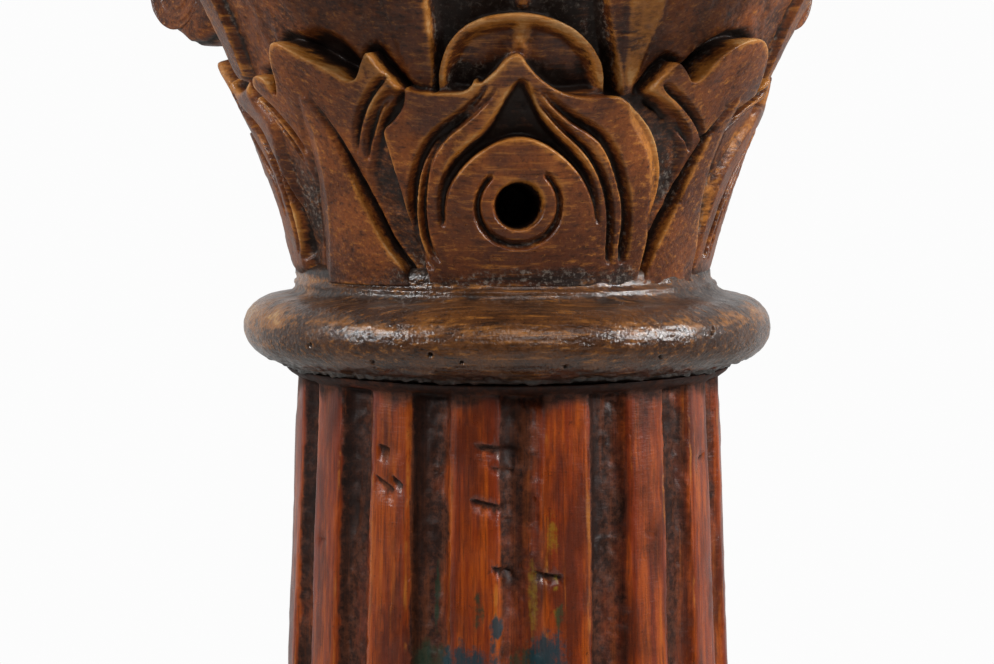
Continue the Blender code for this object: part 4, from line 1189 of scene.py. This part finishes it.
carved_wood = patinated_wood("carved softwood, brown stain under wax",
                             ("#5a2e16", "#80431a", "#452111"), "#b67430", "#180c06", "#80766c",
                             roughness=0.34, grain_depth=0.00036, grain=0.66, coat=0.12, crackle=0.35,
                             seed=1.3)
radii = (radius_grid + level) * MM
rings = np.stack([radii * np.sin(turns) + BELL_SHIFT, -radii * np.cos(turns),
                  height_grid * MM + joint_z], axis=-1)
bell = add_object("capital_bell", wrapped_skin("capital_bell", rings))
thin_out(bell, BELL_FACES)
points = vertices_of(bell.data)
even = softened(level, 0.9)
# Crisp crest lines feed the rubbed mark as worn edges and also as painted highlight along them.
crest = 1.5 * np.clip(softened(level, 0.5) - softened(level, 1.5) - 0.03, 0, 1)
crest += 0.26 * np.clip(even - softened(level, 3), 0, 2)
swell = np.clip(even - softened(level, 11), 0, 4)
hollow = np.clip(softened(level, 3.6) - even, 0, 3)
deep = np.clip(softened(level, 18) - even, 0, 5)
lump = unevenness(ground, 9, 67)
# Edges that stand out are rubbed, hollows and deep ground hold dirt and painted shade, and the bell's upper
# part gets painted shade.
rubbed_and_lit = (0.72 * crest + 0.05 * swell) * (0.75 + 0.75 * lump)
rubbed_and_lit *= 1 - np.where(angle_grid > 0, 0.55, 0.2) * ease((np.abs(angle_grid) - 60) / 12)
rubbed_and_lit += 0.08 * ease((-50 - angle_grid) / 8) * ease((height_grid - 98) / 8) * (1 + 0.6 * lump)
# Painted shade over the bell's upper part, which leans out under the board and the scrolls; less of it on the
# far left.
painted_upper_shade = ease((height_grid - 96) / 10) * (0.10 + 0.07 * ease((75 - np.abs(angle_grid)) / 20))
painted_upper_shade *= 1 - 0.9 * ease((-46 - angle_grid) / 12)
grime_and_shade = 0.62 * hollow + 0.14 * deep + 0.04 * np.clip(-level - 1, 0, 6)
grime_and_shade = grime_and_shade + painted_upper_shade * (1 + 0.6 * lump) * ease((3.5 - level) / 3)
# The leaves' rims and bevels are rubbed most, the valleys between them hold most of the dirt.
for axis, side, *_, drawn_out, _ in LARGE_LEAVES:
    columns, x, z = window(axis, side)
    lumps = lump[:, columns]
    front, left = axis == 0, axis == -90
    strength = 1 if front else 0.25
    dome = inside_of(x, z, on_bell(DOME, 2, True))
    rim = np.clip(1.3 - np.abs(dome - 1.4) / 1.5, 0, 1) * ease((z - 93) / 6)
    rim *= (1 - 0.35 * ease((x - 2) / 12)) * strength
    facet = ease(0.3 + inside_of(x, z, on_bell(FRAME_RIGHT, 1, True)) / 2) * strength
    leaf = inside_of(x, z * drawn_out, on_bell(LARGE_OUTLINE, 1, True))
    lobe = left * ease(leaf / 2) * ease((z - 93) / 6)
    shade = np.exp(-((x + 24.5) / 3.5) ** 2) * ease((z - 96) / 5)
    # Painted light in the dome's bowl, which lies in shade: it gets rubbed tone and sheds its grime.
    bowl = ease((dome - 2.6) / 1.5) * ease((z - 99) / 7)
    chip = front * ease(1.2 - np.hypot((x + 0.2) / 3.2, (z - 111.4) / 3.4)) * (0.7 + 0.8 * lumps)
    wing = ease(0.4 + inside_of(x, z, on_bell(WING_BEVEL, 2, True), 14) / 2.2)
    band = ease((EYE_RING_RADIUS + 1.4 - np.hypot(x, z - EYE_HEIGHT)) / 1.2)
    worn = (1.3 * rim + 0.60 * wing + 0.82 * facet + 0.8 * lobe) * (0.8 + 0.5 * lumps)
    rubbed_and_lit[:, columns] *= (1 - 0.65 * band) * (1 - 0.6 * shade)
    rubbed_and_lit[:, columns] += worn + 0.28 * bowl * front + 1.3 * chip
    grime_and_shade[:, columns] *= (1 - 0.85 * bowl) * (1 - 0.8 * np.clip(rim, 0, 1)) * (1 - 0.9 * facet)
    grime_and_shade[:, columns] *= 1 - 0.8 * np.clip(lobe + chip, 0, 1)
    grime_and_shade[:, columns] *= 1 - 0.5 * front * np.exp(-((x - 22) / 3) ** 2) * ease((z - 94) / 5)
for axis, side, kind in SMALL_LEAVES:
    columns, x, z = window(axis, side)
    lumps = lump[:, columns]
    for way in (1, -1):
        low_part = in_valley(way * x, z, kind) * ease((2.0 - level[:, columns]) / 1.8)
        grime_and_shade[:, columns] = np.maximum(grime_and_shade[:, columns], 0.66 * low_part * (1 + 0.35 * lumps))
    ridge, _ = near_line(x, z, on_bell(STEM_CRESTS[kind]), 4)
    rubbed_and_lit[:, columns] += 0.42 * np.exp(-(ridge / 0.9) ** 2) * (0.8 + 0.5 * lumps)
# The leaves' feet are dark, but less so at the corners.
feet = ease((39 - height_grid + 2 * lump) / 6)
feet *= 1 - 0.6 * np.exp(-((np.abs(angle_grid) % 90 - 45) / 9) ** 2)
rubbed_and_lit *= 1 - feet
grime_and_shade = np.maximum(grime_and_shade, 0.50 * feet * (1 + 0.5 * lump))
mark(bell.data, "rubbed_and_lit", read_grid(rubbed_and_lit, points))
mark(bell.data, "grime_and_shade", read_grid(grime_and_shade, points))
finish_piece(bell, carved_wood, "brown_wood", "capital")

# Capital, the corner scrolls.
# Under each corner of the board a scroll hangs out from the bell, cut in one with it: a drum whose two
# faces carry a worn, shallow spiral round a small hollow, and a thick arm that swells out of the bell.

SCROLL_CENTRES = {45: 174.0, 135: 164.5, -135: 174.0, -45: 174.0}    # mm from the axis, by diagonal
SCROLL_RADIUS = 17.5
SCROLL_HALF_WIDTH = 14.8
SCROLL_TOP = 163.8
SPIRAL_PITCH = 5.6                  # mm between two turns of the groove
SPIRAL_DEPTH = 0.4
HOLLOW_RADIUS = 4.4                 # the hollow in the middle of each face
SCROLL_EDGE = 1.4                   # rounding between its faces and its rim
DRUM_COLUMNS = 144
ARM_COLUMNS = 104
ARM_RINGS = 64
ARM_CENTRE = 174.0                  # where the arm's lines below expect the scroll's centre
# Upper and lower line of an arm, as (mm from the axis, height). The lower one dips under the drum.
ARM_TOP = ((92, 162.5), (110, 163.4), (124, 163.6), (136, 163.6), (146, 163.6), (155, 163.6), (164, 163.6),
           (172, 163.6))
ARM_FOOT = ((94, 122), (114, 129.5), (130, 130.6), (142, 128.4), (151, 125.0), (160, 122.2), (168, 122.6),
            (178, 128.2))


def placed(out, across, up, axis):
    """Points in metres from mm along the diagonal, across it and up from the joint."""
    turn = math.radians(axis)
    x = out * math.sin(turn) + across * math.cos(turn)
    y = -out * math.cos(turn) + across * math.sin(turn)
    return np.stack([x * MM, y * MM, up * MM + joint_z], axis=-1)


def drum_rings(axis):
    """Rings over a scroll's drum, from the middle of one face over its rim to the middle of the other.

    Returns the rings with how rubbed and how grimy each place is.
    """
    spin = np.linspace(0, math.tau, DRUM_COLUMNS, endpoint=False)
    face = np.linspace(0.4, SCROLL_RADIUS - SCROLL_EDGE, 44)
    round_edge = np.radians(np.linspace(0, 90, 6))[1:]
    barrel = np.linspace(-1, 1, 24)[1:-1] * (SCROLL_HALF_WIDTH - SCROLL_EDGE)
    radii = np.concatenate([face, SCROLL_RADIUS - SCROLL_EDGE * (1 - np.sin(round_edge)),
                            np.full(len(barrel), SCROLL_RADIUS)])
    sides = np.concatenate([np.full(len(face), SCROLL_HALF_WIDTH),
                            SCROLL_HALF_WIDTH - SCROLL_EDGE * (1 - np.cos(round_edge)), -barrel])
    half = len(face) + len(round_edge)
    radii = np.concatenate([radii, radii[:half][::-1]])
    sides = np.concatenate([sides, -sides[:half][::-1]])
    rho, turn = np.meshgrid(radii, spin, indexing="ij")
    side = np.broadcast_to(sides[:, None], rho.shape).copy()
    way = np.sign(side)
    on_face = np.abs(side) > SCROLL_HALF_WIDTH - 0.01
    phase = ((rho + SPIRAL_PITCH * turn / math.tau) / SPIRAL_PITCH) % 1
    from_groove = np.abs(phase - 0.5) * SPIRAL_PITCH
    cut = np.sqrt(np.clip(1 - (from_groove / 1.5) ** 2, 0, 1)) * ease((rho - HOLLOW_RADIUS) / 2)
    pit = ease((HOLLOW_RADIUS - rho) / 2.4)
    side = side - way * (SPIRAL_DEPTH * cut + 2.4 * pit) * on_face
    waist = 1.6 * (1 - (side / SCROLL_HALF_WIDTH) ** 2) * ~on_face
    rho = rho - np.clip(waist, 0, None)
    points = placed(SCROLL_CENTRES[axis] + rho * np.cos(turn), side,
                    SCROLL_TOP - SCROLL_RADIUS + rho * np.sin(turn), axis)
    rubbed_and_lit = on_face * np.clip(1 - np.abs(from_groove - 2.2) / 0.7, 0, 1) * 0.2
    grime_and_shade = (0.18 * cut + 1.1 * pit) * on_face
    return points, rubbed_and_lit, grime_and_shade


def arm_rings(axis):
    """Rings round a scroll's arm, from inside the bell out to the drum."""
    t = np.linspace(0, 1, ARM_RINGS)
    knots = np.linspace(0, 1, len(ARM_TOP))
    top_line, foot_line = (np.stack([np.interp(t, knots, np.array(line)[:, i]) for i in (0, 1)], axis=1)
                           for line in (ARM_TOP, ARM_FOOT))
    for line in (top_line, foot_line):
        line[:, 0] += (SCROLL_CENTRES[axis] - ARM_CENTRE) * ease((line[:, 0] - 110) / 40)
    spin = np.linspace(0, math.tau, ARM_COLUMNS, endpoint=False)
    square = 4.0                                        # how square the section is
    cos, sin = np.cos(spin), np.sin(spin)
    across = np.sign(cos) * np.abs(cos) ** (2 / square)
    upward = (np.sign(sin) * np.abs(sin) ** (2 / square) + 1) / 2
    middle = foot_line[:, None] + (top_line - foot_line)[:, None] * upward[None, :, None]
    half = (12.6 + 2.15 * ease((t - 0.3) / 0.35))[:, None]
    # Inside the drum's rim the arm draws in, so that the face and its hollow stay clear.
    from_rim = SCROLL_RADIUS - np.hypot(middle[..., 0] - SCROLL_CENTRES[axis],
                                        middle[..., 1] - SCROLL_TOP + SCROLL_RADIUS)
    half = half - 3.6 * ease((from_rim - 1.2) / 2.4)
    rib = 1.1 * np.exp(-((np.abs(across) - 0.55) / 0.16) ** 2)[None, :] * (upward < 0.2)
    points = placed(middle[..., 0], half * across[None, :], middle[..., 1] + rib, axis)
    corner = np.clip(2.6 * np.minimum(np.abs(across), np.abs(2 * upward - 1)) - 1.9, 0, 1)
    rubbed_and_lit = np.broadcast_to(0.3 * corner, points.shape[:2])
    grime_and_shade = np.broadcast_to(rib * 0.6, points.shape[:2]) + 0.1
    return points, rubbed_and_lit, grime_and_shade


def join_skins(name, skins):
    """One mesh from several closed skins, each given as rings with their rubbed and grimy places."""
    bm = bmesh.new()
    worn, dirty = [], []
    for rings, rubbed_and_lit, grime_and_shade in skins:
        skin = wrapped_skin(name + "_part", rings)
        bm.from_mesh(skin)
        bpy.data.meshes.remove(skin)
        worn.append(np.concatenate([np.ravel(rubbed_and_lit), rubbed_and_lit[0, :1], rubbed_and_lit[-1, :1]]))
        dirty.append(np.concatenate([np.ravel(grime_and_shade), grime_and_shade[0, :1], grime_and_shade[-1, :1]]))
    mesh = bpy.data.meshes.new(name)
    bm.to_mesh(mesh)
    bm.free()
    close_up(mesh)
    return mesh, np.concatenate(worn), np.concatenate(dirty)


skins = [make_rings(axis) for axis in SCROLL_CENTRES for make_rings in (drum_rings, arm_rings)]
mesh, rubbed_and_lit, grime_and_shade = join_skins("corner_scrolls", skins)
points = vertices_of(mesh)
sink = 0.35 + 0.35 * unevenness(points, 13, 71) + 0.2 * unevenness(points, 5, 72)
# The tops stay flat under the board.
sink = np.where(points[:, 2] > joint_z + (SCROLL_TOP - 1.5) * MM, 0, sink)
points -= normals_of(mesh) * (sink * MM)[:, None]
set_vertices(mesh, points)
mark(mesh, "rubbed_and_lit", rubbed_and_lit * (0.6 + 0.5 * unevenness(points, 8, 73)))
mark(mesh, "grime_and_shade", grime_and_shade + 0.06 + 0.15 * unevenness(points, 12, 74))
finish_piece(add_object("corner_scrolls", mesh), carved_wood, "brown_wood", "capital")

# Abacus.
# The board on top, sawn with hollow sides and cut corners, a hollow moulding under its square edge. It
# lies on the scrolls; same wood, stain and wax as the capital.

ABACUS_CORNER = 204.0               # mm from the axis to the cut-off corner
ABACUS_CORNER_WIDTH = 40.0
ABACUS_WAIST = 134.0
LARGEST_INSET = 24                  # further in, the outline only shrinks towards the middle
ABACUS_SECTION = (                  # (inset, height) in mm, from the underside up
    (100, 0), (60, 0), (24, 0), (12.6, 0.0), (12.0, 0.2), (11.3, 1.2), (10.3, 3.0), (9.0, 4.9), (7.4, 6.5),
    (5.5, 7.9), (3.6, 8.9), (2.0, 9.6), (1.2, 10.4), (0.9, 11.4), (0.3, 12.2), (0.0, 13.2), (0.0, 15.5),
    (0.0, 18), (0.0, 20), (0.25, 21.2), (0.9, 21.85), (2.2, 22), (24, 22), (60, 22), (100, 22))
SIDE_STEPS = 110                    # points of the outline along a side and across a corner
CORNER_STEPS = 16


def abacus_loop(inset):
    """The board's outline in mm, drawn in by an inset: hollow sides between cut corners."""
    share = 1 - max(inset - LARGEST_INSET, 0) / ABACUS_WAIST
    inset = min(inset, LARGEST_INSET)
    half = ABACUS_CORNER_WIDTH / 2 - inset * 0.4
    corner = ABACUS_CORNER - inset
    reach, off = math.hypot(half, corner), math.atan2(half, corner)
    end_x = reach * math.sin(math.pi / 4 - off)
    end_y = reach * math.cos(math.pi / 4 - off)
    low = ABACUS_WAIST - inset
    x = np.linspace(-end_x, end_x, SIDE_STEPS + 1)
    y = low + (end_y - low) * (x / end_x) ** 2
    along = np.linspace(0, 1, CORNER_STEPS + 2)[1:-1]
    x = np.concatenate([x, end_x + (end_y - end_x) * along])
    y = np.concatenate([y, end_y + (end_x - end_y) * along])
    loops = []
    for side in range(4):
        turn = side * math.pi / 2
        loops.append(np.stack([x * math.cos(turn) + y * math.sin(turn),
                               x * math.sin(turn) - y * math.cos(turn)], axis=1))
    return np.concatenate(loops) * share


abacus_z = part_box("abacus")[0].z
rings = []
for inset, height in ABACUS_SECTION:
    loop = abacus_loop(inset) * MM
    rings.append(np.column_stack([loop, np.full(len(loop), abacus_z + height * MM)]))
mesh = wrapped_skin("abacus_board", np.stack(rings))
points = vertices_of(mesh)
inset = np.repeat([inset for inset, _ in ABACUS_SECTION], len(rings[0]))
inset = np.append(inset, [ABACUS_WAIST, ABACUS_WAIST])      # the middles of its underside and top
level_up = (points[:, 2] - abacus_z) / MM
outer = (inset < 14) & (level_up > 0.1) & (level_up < 21.9)
sink = 0.35 + 0.35 * unevenness(points, 20, 81) + 0.15 * unevenness(points, 6, 82)
sink += 0.8 * np.clip(unevenness(points, 9, 83), 0, 1) * (inset < 1.5) * (np.abs(level_up - 16.5) > 3)
points -= normals_of(mesh) * (np.clip(sink, 0, None) * outer * MM)[:, None]
set_vertices(mesh, points)
edge = np.clip(1 - np.abs(level_up - 21.3) / 1.3, 0, 1) + np.clip(1 - np.abs(level_up - 12.8) / 1.2, 0, 1)
mark(mesh, "rubbed_and_lit", edge * (inset < 3) * (0.7 + 0.5 * unevenness(points, 11, 84)))
# Painted shade on the cove and the underside of the board; the rest holds a little grime.
mark(mesh, "grime_and_shade", 0.12 + 0.5 * (inset > 3) * (level_up < 9) * ease((inset - 3) / 5)
     + 0.2 * unevenness(points, 18, 85))
finish_piece(add_object("abacus_board", mesh), carved_wood, "brown_wood", "abacus")
